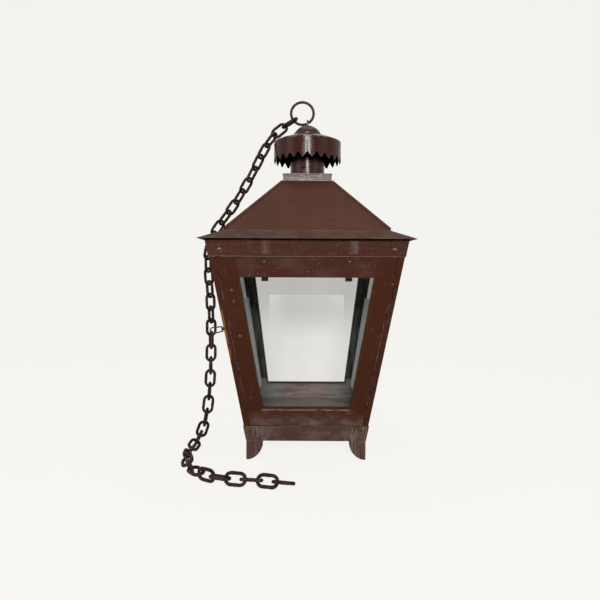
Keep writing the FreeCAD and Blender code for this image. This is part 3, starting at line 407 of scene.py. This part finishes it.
def header_paint():
    """The band over the door, with two pale places where straps have rubbed it."""
    paint = Paint("header_paint", (0.061, 0.0215, 0.0135), upright=0.08, scuffs=0.45)
    front = paint.below(paint.axis("Y"), *HEADER_FACE)
    smear = paint.noise(130, 5, stretch=(1, 1, 0.25), rough=0.65)
    for middle in STRAPS:
        strap = paint.between(paint.axis("X"), middle - STRAP_HALF, middle + STRAP_HALF, 0.0015)
        height = paint.between(paint.axis("Z"), *STRAP_HEIGHTS, 0.002)
        mask = paint.both(front, strap, height, paint.above(smear, 0.35, 0.62, least=0.25))
        paint.wear_and_painted_light(mask, 0.42, (0.16, 0.115, 0.095))
    flecks = paint.above(paint.noise(420, 3, stretch=(0.6, 1, 1), rough=0.75), 0.6, 0.66)
    paint.wear_and_painted_light(flecks, 0.35, (0.19, 0.135, 0.12))
    # Painted shadow: a near-black band, wavy along its lower edge, at the top of the band under the eave.
    wave = paint.times(paint.noise(9, 2), 0.003)
    paint.wear_and_painted_light(paint.above(paint.plus(paint.axis("Z"), wave), *UNDER_EAVE), 1.0, PAINTED_SHADE_BLACK)
    hem = paint.between(paint.axis("Z"), *HEADER_HEM, 0.0003)
    paint.wear_and_painted_light(paint.both(hem, paint.above(smear, 0.35, 0.6, least=0.4)), 0.8, (0.2, 0.15, 0.13))
    return paint.done(0.6)


def base_paint():
    """The band under the door: streaks run down it over the feet."""
    paint = Paint("base_paint", (0.062, 0.026, 0.0185), upright=0.35)
    run = paint.noise(230, 4, stretch=(1, 1, 0.06), rough=0.6)
    over_feet = paint.above(paint.aside(), *FEET_FROM)
    paint.wear_and_painted_light(paint.both(over_feet, paint.above(run, 0.5, 0.62)), 0.75)
    smear = paint.noise(48, 5, stretch=(0.45, 1, 1))
    paint.wear_and_painted_light(paint.above(smear, 0.42, 0.66, least=0.2), 0.34, PALE_SCUFF)
    return paint.done(0.6)


def foot_paint():
    paint = Paint("foot_paint", (0.084, 0.046, 0.038), upright=0.9, scuffs=0.6)
    run = paint.noise(230, 4, stretch=(1, 1, 0.08), rough=0.6)
    paint.wear_and_painted_light(paint.above(run, 0.5, 0.62), 0.55)
    return paint.done(0.6)


def worn_post_paint():
    """The left front post, where the door has rubbed the paint through to brass-brown primer."""
    paint = Paint("worn_post_paint", BROWN, upright=0.95, scuffs=0.3, rubbed=0.25)
    height = paint.between(paint.axis("Z"), *RUBBED_HEIGHTS, 0.01)
    patches = paint.above(paint.noise(130, 5, stretch=(1, 1, 0.3), rough=0.65), 0.49, 0.55)
    lean = paint.times(paint.axis("Z"), POST_LEAN)
    past_corner = paint.plus(paint.plus(paint.plus(paint.axis("X"), paint.axis("Y")), lean), lean)
    corner = paint.below(past_corner, *POST_CORNER)
    paint.wear_and_painted_light(paint.both(height, patches, corner), 0.9, (0.21, 0.085, 0.026))
    # Painted shade on the inward faces.
    paint.inner(INSIDE_SHADE)
    return paint.done()


def back_frame_paint():
    """Brown outside; inside, grey-black stiles, their near-black a painted shade and their grey near the
    opening a painted highlight, over a purple-brown rail with grey ends.
    """
    paint = Paint("back_frame_paint", BROWN, upright=0.7, scuffs=0.25)
    # Painted shade: near-black on the inward faces.
    inside = paint.inner((0.007, 0.007, 0.0065))
    low = paint.below(paint.axis("Z"), *BACK_RAIL_TOP)
    back_rail_wear(paint, inside, paint.both(inside, low))
    stile = paint.both(inside, paint.minus(1.0, low))
    streak = paint.noise(90, 4, stretch=(1, 1, 0.08))
    paint.wear_and_painted_light(paint.both(stile, paint.above(streak, 0.45, 0.62)), 0.6, (0.1, 0.102, 0.094))
    # Painted highlight: the stiles' inner faces paler grey near the opening.
    lean = paint.times(paint.axis("Z"), BACK_STILE_LEAN)
    near = paint.below(paint.minus(paint.aside(), lean), *BACK_STILE_SIDE)
    paint.wear_and_painted_light(paint.both(stile, near), 0.55, (0.12, 0.122, 0.112))
    return paint.done()


def back_rail_wear(paint, inside, rail):
    """The rail's blotches, grey ends and long grain, under a dark upper lip."""
    blot = paint.noise(50, 5, rough=0.7)
    paint.wear_and_painted_light(rail, 1.0, (0.2, 0.145, 0.13))
    paint.wear_and_painted_light(paint.both(rail, paint.above(blot, 0.45, 0.6)), 0.4, (0.29, 0.235, 0.21))
    ends = paint.above(paint.plus(paint.aside(), paint.times(blot, 0.02)), *BACK_RAIL_ENDS)
    paint.wear_and_painted_light(paint.both(rail, ends), 0.75, (0.18, 0.19, 0.175))
    grain = paint.noise(170, 5, stretch=(0.07, 1, 1), rough=0.7)
    paint.wear_and_painted_light(paint.both(rail, paint.above(grain, 0.47, 0.6)), 0.6, (0.07, 0.05, 0.044))
    lip = paint.between(paint.axis("Z"), *BACK_RAIL_LIP, 0.0008)
    paint.wear_and_painted_light(paint.both(inside, lip), 0.8, (0.012, 0.008, 0.007))


def side_frame_paint():
    """Brown outside; inside, painted shade on the inward faces, and the lips that face the door bare
    grey-green metal, made near white as a painted highlight.
    """
    paint = Paint("side_frame_paint", BROWN, upright=0.85, scuffs=0.25)
    # Painted shade on the inward faces.
    paint.inner(INSIDE_SHADE)
    # The bare-metal lips, made near white as a painted highlight.
    lip = paint.below(paint.facing("Y"), -0.85, -0.7)
    blot = paint.above(paint.noise(60, 4, stretch=(1, 1, 0.3)), 0.35, 0.65, least=0.6)
    paint.wear_and_painted_light(paint.both(lip, blot), 1.0, (0.8, 0.83, 0.8))
    return paint.done()


def pan_paint():
    """The bare grey-green floor, dusty and stained."""
    paint = Paint("pan_paint", (0.27, 0.235, 0.205), roughness=0.6, upright=0.0, scuffs=0.3)
    stain = paint.noise(38, 6, rough=0.7)
    paint.wear_and_painted_light(paint.above(stain, 0.5, 0.68), 0.5, (0.13, 0.1, 0.088))
    paint.wear_and_painted_light(paint.below(stain, 0.44, 0.3), 0.3, (0.4, 0.38, 0.35))
    return paint.done(0.4)


def roof_paint():
    """Flat, even brown with a trace of weathering towards the eaves, a painted shadow under the collar and
    painted shade on the faces that look down.
    """
    paint = Paint("roof_paint", (0.083, 0.0355, 0.025), roughness=0.62, upright=0.3, scuffs=0.06)
    low = paint.below(paint.axis("Z"), *EAVE_FOLD)
    blot = paint.above(paint.noise(40, 5), 0.4, 0.6, least=0.3)
    paint.wear_and_painted_light(paint.both(low, blot), 0.42, (0.13, 0.09, 0.072))
    # Painted shadow: darker brown on the roof's top under the collar, most in the middle.
    dark = paint.both(paint.above(paint.axis("Z"), *UNDER_COLLAR),
                      paint.below(paint.aside(), *UNDER_COLLAR_SIDE, least=0.2))
    paint.wear_and_painted_light(dark, 0.6, (0.045, 0.013, 0.008))
    # Painted shade: near-black on the faces that look down, under the eave.
    under = paint.below(paint.facing("Z"), -0.5, -0.2)
    paint.wear_and_painted_light(under, 1.0, (0.003, 0.002, 0.002))
    return paint.done(0.25)


def crown_paint():
    """Glossier, darker paint, with painted shade in near-black inside the crown."""
    paint = Paint("crown_paint", (0.033, 0.0042, 0.0008), roughness=0.18, specular=0.19,
                  upright=0.75, scuffs=0.1)
    # Painted shade on the inward faces.
    paint.inner((0.003, 0.0025, 0.002))
    return paint.done(0.4)


def chimney_paint():
    """The chimney's worn paint, with painted shade in near-black under the crown and round its weep hole.
    """
    paint = Paint("chimney_paint", (0.034, 0.0045, 0.0008), roughness=0.19, specular=0.24, scuffs=0.35)
    # Painted shade: the chimney's top, in the crown's shade, made near-black.
    paint.wear_and_painted_light(paint.above(paint.axis("Z"), *UNDER_CROWN), 1.0, PAINTED_SHADE_BLACK)
    # Painted shade: a near-black dot round the weep hole, on the front only, wider than the hole.
    squares = [paint.math("POWER", paint.minus(paint.axis(name), middle), 2.0)
               for name, middle in zip("XZ", WEEP_HOLE)]
    near = paint.below(paint.math("SQRT", paint.plus(*squares)), *WEEP_SHADE)
    front = paint.below(paint.axis("Y"), -0.004, 0)
    paint.wear_and_painted_light(paint.both(near, front), 1.0, PAINTED_SHADE_BLACK)
    return paint.done()


def collar_paint():
    """The collar's rubbed paint: grey over brown, with bright scratches."""
    paint = Paint("collar_paint", (0.14, 0.108, 0.104), roughness=0.4, specular=0.3, upright=0.1,
                  scuffs=0.6)
    blot = paint.noise(85, 5, stretch=(0.6, 0.6, 1), rough=0.7)
    paint.wear_and_painted_light(paint.above(blot, 0.5, 0.62), 0.8, (0.5, 0.455, 0.45))
    paint.wear_and_painted_light(paint.below(blot, 0.46, 0.36), 0.55, (0.05, 0.022, 0.016))
    return paint.done(0.7)


CASE, DOOR, HEADER, BASE = case_paint(), door_paint(), header_paint(), base_paint()
FOOT, WORN_POST, BACK_FRAME, PAN = foot_paint(), worn_post_paint(), back_frame_paint(), pan_paint()
SIDE_FRAME = side_frame_paint()
ROOF, CROWN, COLLAR = roof_paint(), crown_paint(), collar_paint()
CHIMNEY, RIVET = chimney_paint(), rivet_paint()


IRON_RELIEF = 0.0007


def iron(name, dark, rust, pale, roughness=0.5):
    """Old forged iron: near-black skin, rust in the hollows and pale rubbed crests."""
    shader = Shader(name, roughness=roughness, specular=0.14)
    cloud = shader.noise(110, 6, rough=0.7)
    grit = shader.noise(300, 5, rough=0.7)
    tone = shader.mix(shader.above(cloud, 0.38, 0.62), dark, rust)
    crests = shader.both(shader.ramp(grit, (0.54, 0), (0.7, 0.8)),
                         shader.above(cloud, 0.3, 0.6, least=0.3))
    rough = shader.ramp(grit, (0.3, roughness - 0.14), (0.7, roughness + 0.2))
    shader.set(shader.surface, Base_Color=shader.mix(crests, tone, pale), Roughness=rough)
    shader.bump(shader.plus(grit, shader.times(cloud, 0.8)), IRON_RELIEF, 0.9)
    return shader


CHAIN_IRON = iron("chain_iron", (0.003, 0.0012, 0.001), (0.036, 0.0115, 0.008), (0.17, 0.115, 0.11), 0.42)
RING_IRON = iron("ring_iron", (0.016, 0.0058, 0.004), (0.056, 0.019, 0.012), (0.16, 0.09, 0.066), 0.42)
LATCH_WIRE = iron("latch_wire", (0.026, 0.011, 0.007), (0.085, 0.036, 0.018), (0.18, 0.11, 0.075))
CLIP_BLACK = iron("clip_black", (0.003, 0.003, 0.003), (0.009, 0.006, 0.005), (0.03, 0.026, 0.022))


GLASS_IOR = 1.45
SHINE = 0.3
DUST = (0.85, 0.88, 0.86)
PANEL_HALF = 0.0756
PANEL_HEIGHTS = (0.16, 0.2556)
PANEL_SOFT = 0.0012


class Glass(Shader):
    """Thin window glass that lets a share of the light through and shines on its outer faces."""

    def clear(self, share):
        """Evenly clear glass with faint smears; share is how much light one face lets through."""
        smear = self.noise(11, 5, stretch=(1, 1, 0.45), rough=0.6)
        return self.ramp(smear, (0.3, share - 0.02), (0.7, share + 0.02))

    def panelled(self):
        """Glass that dims towards the top, round a clearer panel with a crisp upper edge."""
        low, high = PANEL_HEIGHTS
        side, height = self.aside(), self.axis("Z")
        inside = self.both(self.below(side, PANEL_HALF - PANEL_SOFT, PANEL_HALF + PANEL_SOFT),
                           self.below(height, high - PANEL_SOFT, high + PANEL_SOFT))
        border = self.ramp(height, (low, 0.87), (high, 0.745))
        middle = self.ramp(height, (low, 0.925), (high - 0.02, 0.79))
        rim = self.both(self.above(side, PANEL_HALF * 0.4, PANEL_HALF),
                        self.ramp(height, (low, -0.045), (high, 0.05)))
        edge = self.both(self.above(height, high - 0.006, high), inside)
        middle = self.plus(middle, self.plus(rim, self.times(edge, 0.02)))
        return self.blend(inside, border, middle)

    def outer(self):
        """1 on the faces that look away from the lantern's middle, which are the ones that shine."""
        parts = [self.times(self.facing(name), self.axis(name)) for name in "XY"]
        outward = self.math("GREATER_THAN", self.plus(*parts), 0.0)
        backfacing = self.add("ShaderNodeNewGeometry").outputs["Backfacing"]
        return self.both(outward, self.minus(1.0, backfacing))

    def filmed(self, under):
        """A film of dust, which looks denser the more edge-on the glass is seen."""
        film = self.add("ShaderNodeBsdfDiffuse")
        self.set(film, Color=DUST)
        facing = self.add("ShaderNodeLayerWeight")
        self.set(facing, Blend=0.5)
        return self.layer(self.math("POWER", facing.outputs["Facing"], 1.5), under, film.outputs[0])

    def done(self, thin, dusty=False):
        tint = self.add("ShaderNodeCombineColor")
        self.set(tint, Red=thin, Green=thin, Blue=thin)
        through = self.add("ShaderNodeBsdfTransparent")
        self.set(through, Color=tint.outputs[0])
        result = self.filmed(through.outputs[0]) if dusty else through.outputs[0]
        shine = self.add("ShaderNodeBsdfGlossy")
        self.set(shine, Roughness=0.0)
        fresnel = self.add("ShaderNodeFresnel")
        self.set(fresnel, IOR=GLASS_IOR)
        share = self.times(self.both(fresnel.outputs[0], self.outer()), SHINE)
        self.output(self.layer(share, result, shine.outputs[0]))
        return self


def clear_glass(name, share, dusty):
    glass = Glass(name)
    return glass.done(glass.clear(share), dusty)


def back_glass():
    glass = Glass("back_glass")
    return glass.done(glass.panelled())


GLASS = clear_glass("clear_glass", 0.985, dusty=False)
SIDE_GLASS = clear_glass("side_glass", 0.93, dusty=True)
BACK_GLASS = back_glass()


# ---------------------------------------------------------------- the chain
ROUTE_MM = [
    (-19.8, 0, 578.15), (-38, 0, 567), (-57, -1, 553), (-73, -1, 532), (-84, -1, 509),
    (-95, 0, 486), (-107, 2, 463), (-120, 4, 441), (-134, 7, 420), (-150, 10, 399),
    (-167.5, 12, 377.5), (-179, 14, 354), (-182.5, 15, 326), (-179.5, 15, 296),
    (-176, 15, 255), (-174, 15, 210), (-174, 14.5, 165), (-174.5, 13.5, 125),
    (-175.5, 12, 92), (-177, 6, 60), (-179.5, -8, 34), (-182.5, -28, 18.5), (-186, -54, 12),
    (-189, -86, 11), (-188, -120, 11), (-179, -152, 11), (-161, -180, 11), (-133, -197, 11),
    (-100, -205, 11), (-68, -206, 11), (-42, -212, 11), (-18, -220, 11), (6, -218, 11.5),
]
LINK_WIRE = 2.55 * MM
LINK_LENGTH = 34.3 * MM
LINK_WIDTH = 21 * MM
LINK_PLAY = 0.92 * MM
LINK_SQUEEZE = (0.955, 1.0)
LINK_LEAN = (-0.012, 0.012)
WELD_SWELL = 1.1
WELD_STRETCH = 1.7
STEEP = 0.5
TWIST_PLAY = 10
# share of the way down the chain, and how far the links are turned about it there, in degrees
TWIST = [(0.0, 0), (0.1, 45), (0.42, 45), (0.55, 85), (0.72, 95), (0.8, 68), (1.0, 68)]


def route_line():
    """Points along the chain's route, read from a smooth curve through its bends."""
    curve = bpy.data.curves.new("chain_route", "CURVE")
    curve.dimensions = "3D"
    curve.resolution_u = 40
    spline = curve.splines.new("NURBS")
    spline.points.add(len(ROUTE_MM) - 1)
    for point, place in zip(spline.points, ROUTE_MM):
        point.co = (*(Vector(place) * MM), 1)
    spline.order_u = 3
    spline.use_endpoint_u = True
    route = bpy.data.objects.new("chain_route", curve)
    bpy.context.scene.collection.objects.link(route)
    bpy.context.view_layer.update()
    mesh = bpy.data.meshes.new_from_object(route)
    points = [vertex.co.copy() for vertex in mesh.vertices]
    bpy.data.meshes.remove(mesh)
    bpy.data.objects.remove(route)
    bpy.data.curves.remove(curve)
    return points


def link_line():
    """The middle line of one link's wire, round its two ends."""
    steps = 10
    radius = LINK_WIDTH / 2 - LINK_WIRE
    straight = (LINK_LENGTH - LINK_WIDTH) / 2
    points = []
    for end in (1, -1):
        for step in range(steps + 1):
            angle = math.pi * (step / steps - 0.5)
            points.append(Vector((end * (straight + radius * math.cos(angle)),
                                  end * radius * math.sin(angle), 0)))
        for share in (0.25, 0.5, 0.75):
            points.append(Vector((end * straight * (1 - 2 * share), end * radius, 0)))
    return points


def twist_at(share):
    for (low, first), (high, last) in zip(TWIST, TWIST[1:]):
        if share <= high:
            return math.radians(first + (last - first) * (share - low) / (high - low))
    return math.radians(TWIST[-1][1])


def crossed(before, along, wanted):
    """Near the wanted direction across a link, and nearly square to the link before."""
    carried = (before - along * before.dot(along)).normalized()
    square = along.cross(carried)
    turn = math.atan2(wanted.dot(square), wanted.dot(carried)) % math.pi
    turn = min(max(turn, math.radians(90 - TWIST_PLAY)), math.radians(90 + TWIST_PLAY))
    return carried * math.cos(turn) + square * math.sin(turn)


def across_link(along, share, number, before):
    """The direction across a link: every other one is turned a quarter, and all follow the twist."""
    level = Vector((0, 1, 0)) if abs(along.z) > STEEP else Vector((along.y, -along.x, 0))
    wanted = (level - along * level.dot(along)).normalized()
    turn = twist_at(share) + math.pi / 2 * (number % 2)
    wanted = Matrix.Rotation(turn, 3, along) @ wanted
    return wanted if before is None else crossed(before, along, wanted)


def link_frames(samples):
    """A frame for every link, each hooked in the one before and crossed by a quarter turn."""
    half = LINK_LENGTH / 2 - LINK_WIRE
    hook = 2 * LINK_WIRE + LINK_PLAY
    near = samples[0]
    place = 0
    frames = []
    across = None
    while True:
        seek = place
        while seek < len(samples) and (samples[seek] - near).length < 2 * half:
            seek += 1
        if seek >= len(samples):
            return frames
        along = (samples[seek] - near).normalized()
        across = across_link(along, place / len(samples), len(frames), across)
        centre = near + along * half
        basis = Matrix((along, across, along.cross(across))).transposed().to_4x4()
        frames.append(Matrix.Translation(centre) @ basis)
        near = centre + along * (half - hook)
        while place < len(samples) - 1 and (samples[place] - samples[seek]).length > hook:
            place += 1


def uneven_link(line, dice):
    """One link's middle line a little squeezed and skewed, and how much it is squeezed."""
    squeeze = dice.uniform(*LINK_SQUEEZE)
    lean = dice.uniform(*LINK_LEAN)
    bent = [point.copy() for point in line]
    for point in bent:
        point.y *= squeeze
        point.y += lean * point.x
    return bent, squeeze


def chain():
    samples = route_line()
    dice = random.Random(7)
    bm = bmesh.new()
    line = link_line()
    places = link_frames(samples)
    for number, place in enumerate(places):
        bent, squeeze = uneven_link(line, dice)
        sweep(bm, [place @ point for point in bent], LINK_WIRE, seed=number)
        weld_bump(bm, place, squeeze)
    piece = new_piece("chain", bm, "case", CHAIN_IRON.material, smooth_below=60,
                      replaced=("chain_upper", "chain_drop", "chain_floor"))
    tail = places[-1] @ Vector((LINK_LENGTH / 2, 0, 0))
    last = min(range(len(samples)), key=lambda number: (samples[number] - tail).length)
    samples = samples[:last + 1]


def weld_bump(bm, place, squeeze):
    """The swelling where the link's wire was hammered shut."""
    radius = (LINK_WIDTH / 2 - LINK_WIRE) * squeeze
    blob = bmesh.ops.create_uvsphere(bm, u_segments=12, v_segments=8, radius=LINK_WIRE * WELD_SWELL)
    shape = Matrix.Translation((0, radius, 0)) @ Matrix.Diagonal((WELD_STRETCH, 1, 1, 1))
    bmesh.ops.transform(bm, matrix=place @ shape, verts=blob["verts"])


chain()


# ---------------------------------------------------------------- CAD nodes and their finishes
FINISHES = {
    CASE: ["corner_post_front_right", "corner_post_back_right", "corner_post_back_left",
           "case_hinge_leaves"],
    SIDE_FRAME: ["right_frame", "left_frame"],
    WORN_POST: ["corner_post_front_left"],
    DOOR: ["door_frame", "door_hinge_leaves"],
    HEADER: ["header_band"],
    RIVET: ["door_rivets", "header_rivets"],
    BASE: ["base_band"],
    FOOT: ["foot_front_left", "foot_front_right", "foot_back_right", "foot_back_left"],
    BACK_FRAME: ["back_frame"],
    PAN: ["floor_pan"],
    ROOF: ["eave_skirt", "roof_shell", "hip_rolls"],
    CHIMNEY: ["chimney"],
    CROWN: ["crown_band", "crown_lid", "crown_straps", "finial_dome", "ring_lug"],
    COLLAR: ["vent_collar"],
    RING_IRON: ["hanging_ring"],
    LATCH_WIRE: ["latch_loop", "latch_eye"],
    CLIP_BLACK: ["door_clips", "pane_clips", "hinge_pins"],
    GLASS: ["door_glass"],
    SIDE_GLASS: ["right_glass", "left_glass"],
    BACK_GLASS: ["back_glass"],
}


def finish_nodes():
    for shader, names in FINISHES.items():
        for name in names:
            mesh = nodes[name].data
            mesh.materials.clear()
            mesh.materials.append(shader.material)


finish_nodes()


# ---------------------------------------------------------------- floor, light and camera
PAPER = (0.922, 0.913, 0.879)
FLOOR_COLOUR = (0.8, 0.79, 0.76)
FLOOR_SHADE = 0.12
FLOOR_GLOW = 1.06
FLOOR_HALF = 5
FLOOR_FRONT = -3.5
WALL_FROM = 2.0
WALL_BEND = 1.2
WALL_TOP = 5.0
SKY = 0.25
LENS_MM = 31.2
SHIFT = (-0.0114, -0.05)
CAMERA_PLACE = (0, -0.936, 0.306)
CAMERA_ROLL = 0.3
MIDDLE = (0, 0, 0.3)
CROWN_SIDE = (0, 0, 0.45)
# name, place, target, size and power in watts
LAMPS = [
    ("front", (0.03, -2.4, 1.06), CROWN_SIDE, (0.66, 0.5), 45),
    ("left", (-2.2, -1.2, 1.4), MIDDLE, (1.2, 1.6), 9),
    ("right", (2.2, -1.4, 1.0), MIDDLE, (1.2, 1.6), 5),
    ("top", (0, 0.3, 2.6), MIDDLE, (1.6, 1.2), 9),
]


def seen_plainly(tree):
    """1 for rays from the camera and for what glass and gloss show."""
    rays = tree.nodes.new("ShaderNodeLightPath")
    total = rays.outputs["Is Camera Ray"]
    for name in ("Is Glossy Ray", "Is Transmission Ray"):
        node = tree.nodes.new("ShaderNodeMath")
        node.operation = "MAXIMUM"
        tree.links.new(total, node.inputs[0])
        tree.links.new(rays.outputs[name], node.inputs[1])
        total = node.outputs[0]
    return total


def paper():
    """A plain pale sheet that keeps a faint shadow of the object."""
    shader = Shader("floor_paper", roughness=0.9, specular=0.1)
    shader.set(shader.surface, Base_Color=FLOOR_COLOUR)
    glow = shader.add("ShaderNodeEmission")
    shader.set(glow, Color=PAPER, Strength=FLOOR_GLOW)
    plain = shader.times(seen_plainly(shader.tree), 1 - FLOOR_SHADE)
    shader.output(shader.layer(plain, shader.surface.outputs[0], glow.outputs[0]))
    return shader.material


def floor_profile():
    """The floor's side view, which bends up into a wall behind the object."""
    profile = [(FLOOR_FRONT, 0.0), (WALL_FROM, 0.0)]
    steps = 12
    for step in range(1, steps + 1):
        angle = math.pi / 2 * step / steps
        profile.append((WALL_FROM + WALL_BEND * math.sin(angle), WALL_BEND - WALL_BEND * math.cos(angle)))
    profile.append((WALL_FROM + WALL_BEND, WALL_TOP))
    return profile


def floor():
    bm = bmesh.new()
    rows = [[bm.verts.new((x, y, z)) for x in (-FLOOR_HALF, FLOOR_HALF)] for y, z in floor_profile()]
    for low, high in zip(rows, rows[1:]):
        bm.faces.new((low[0], low[1], high[1], high[0]))
    mesh = bpy.data.meshes.new("floor")
    bm.to_mesh(mesh)
    bm.free()
    for face in mesh.polygons:
        face.use_smooth = True
    piece = bpy.data.objects.new("floor", mesh)
    bpy.context.scene.collection.objects.link(piece)
    mesh.materials.append(paper())


def lamp(name, place, target, size, power):
    light = bpy.data.lights.new(name, "AREA")
    light.shape = "RECTANGLE"
    light.size, light.size_y = size
    light.energy = power
    thing = bpy.data.objects.new(name, light)
    bpy.context.scene.collection.objects.link(thing)
    thing.location = place
    thing.rotation_euler = (Vector(target) - Vector(place)).to_track_quat("-Z", "Y").to_euler()


def camera():
    """Level with the middle of the lantern and about a metre in front of it."""
    data = bpy.data.cameras.new("camera")
    data.lens = LENS_MM
    data.sensor_width = 36
    data.shift_x, data.shift_y = SHIFT
    data.clip_start = 0.01
    thing = bpy.data.objects.new("camera", data)
    bpy.context.scene.collection.objects.link(thing)
    level = Matrix.Rotation(math.radians(90), 4, "X")
    turn = level @ Matrix.Rotation(math.radians(CAMERA_ROLL), 4, "Z")
    thing.matrix_world = Matrix.Translation(CAMERA_PLACE) @ turn
    bpy.context.scene.camera = thing


def world():
    """Pale paper where it is seen, and a dim even sky as light."""
    sky = bpy.data.worlds.new("world")
    bpy.context.scene.world = sky
    sky.use_nodes = True
    tree = sky.node_tree
    dim = tree.nodes["Background"]
    dim.inputs["Color"].default_value = (*PAPER, 1)
    dim.inputs["Strength"].default_value = SKY
    pale = tree.nodes.new("ShaderNodeBackground")
    pale.inputs["Color"].default_value = (*PAPER, 1)
    mixer = tree.nodes.new("ShaderNodeMixShader")
    tree.links.new(seen_plainly(tree), mixer.inputs[0])
    tree.links.new(dim.outputs[0], mixer.inputs[1])
    tree.links.new(pale.outputs[0], mixer.inputs[2])
    tree.links.new(mixer.outputs[0], tree.nodes["World Output"].inputs["Surface"])


floor()
world()
camera()
for row in LAMPS:
    lamp(*row)

bpy.context.scene.view_settings.view_transform = "Standard"
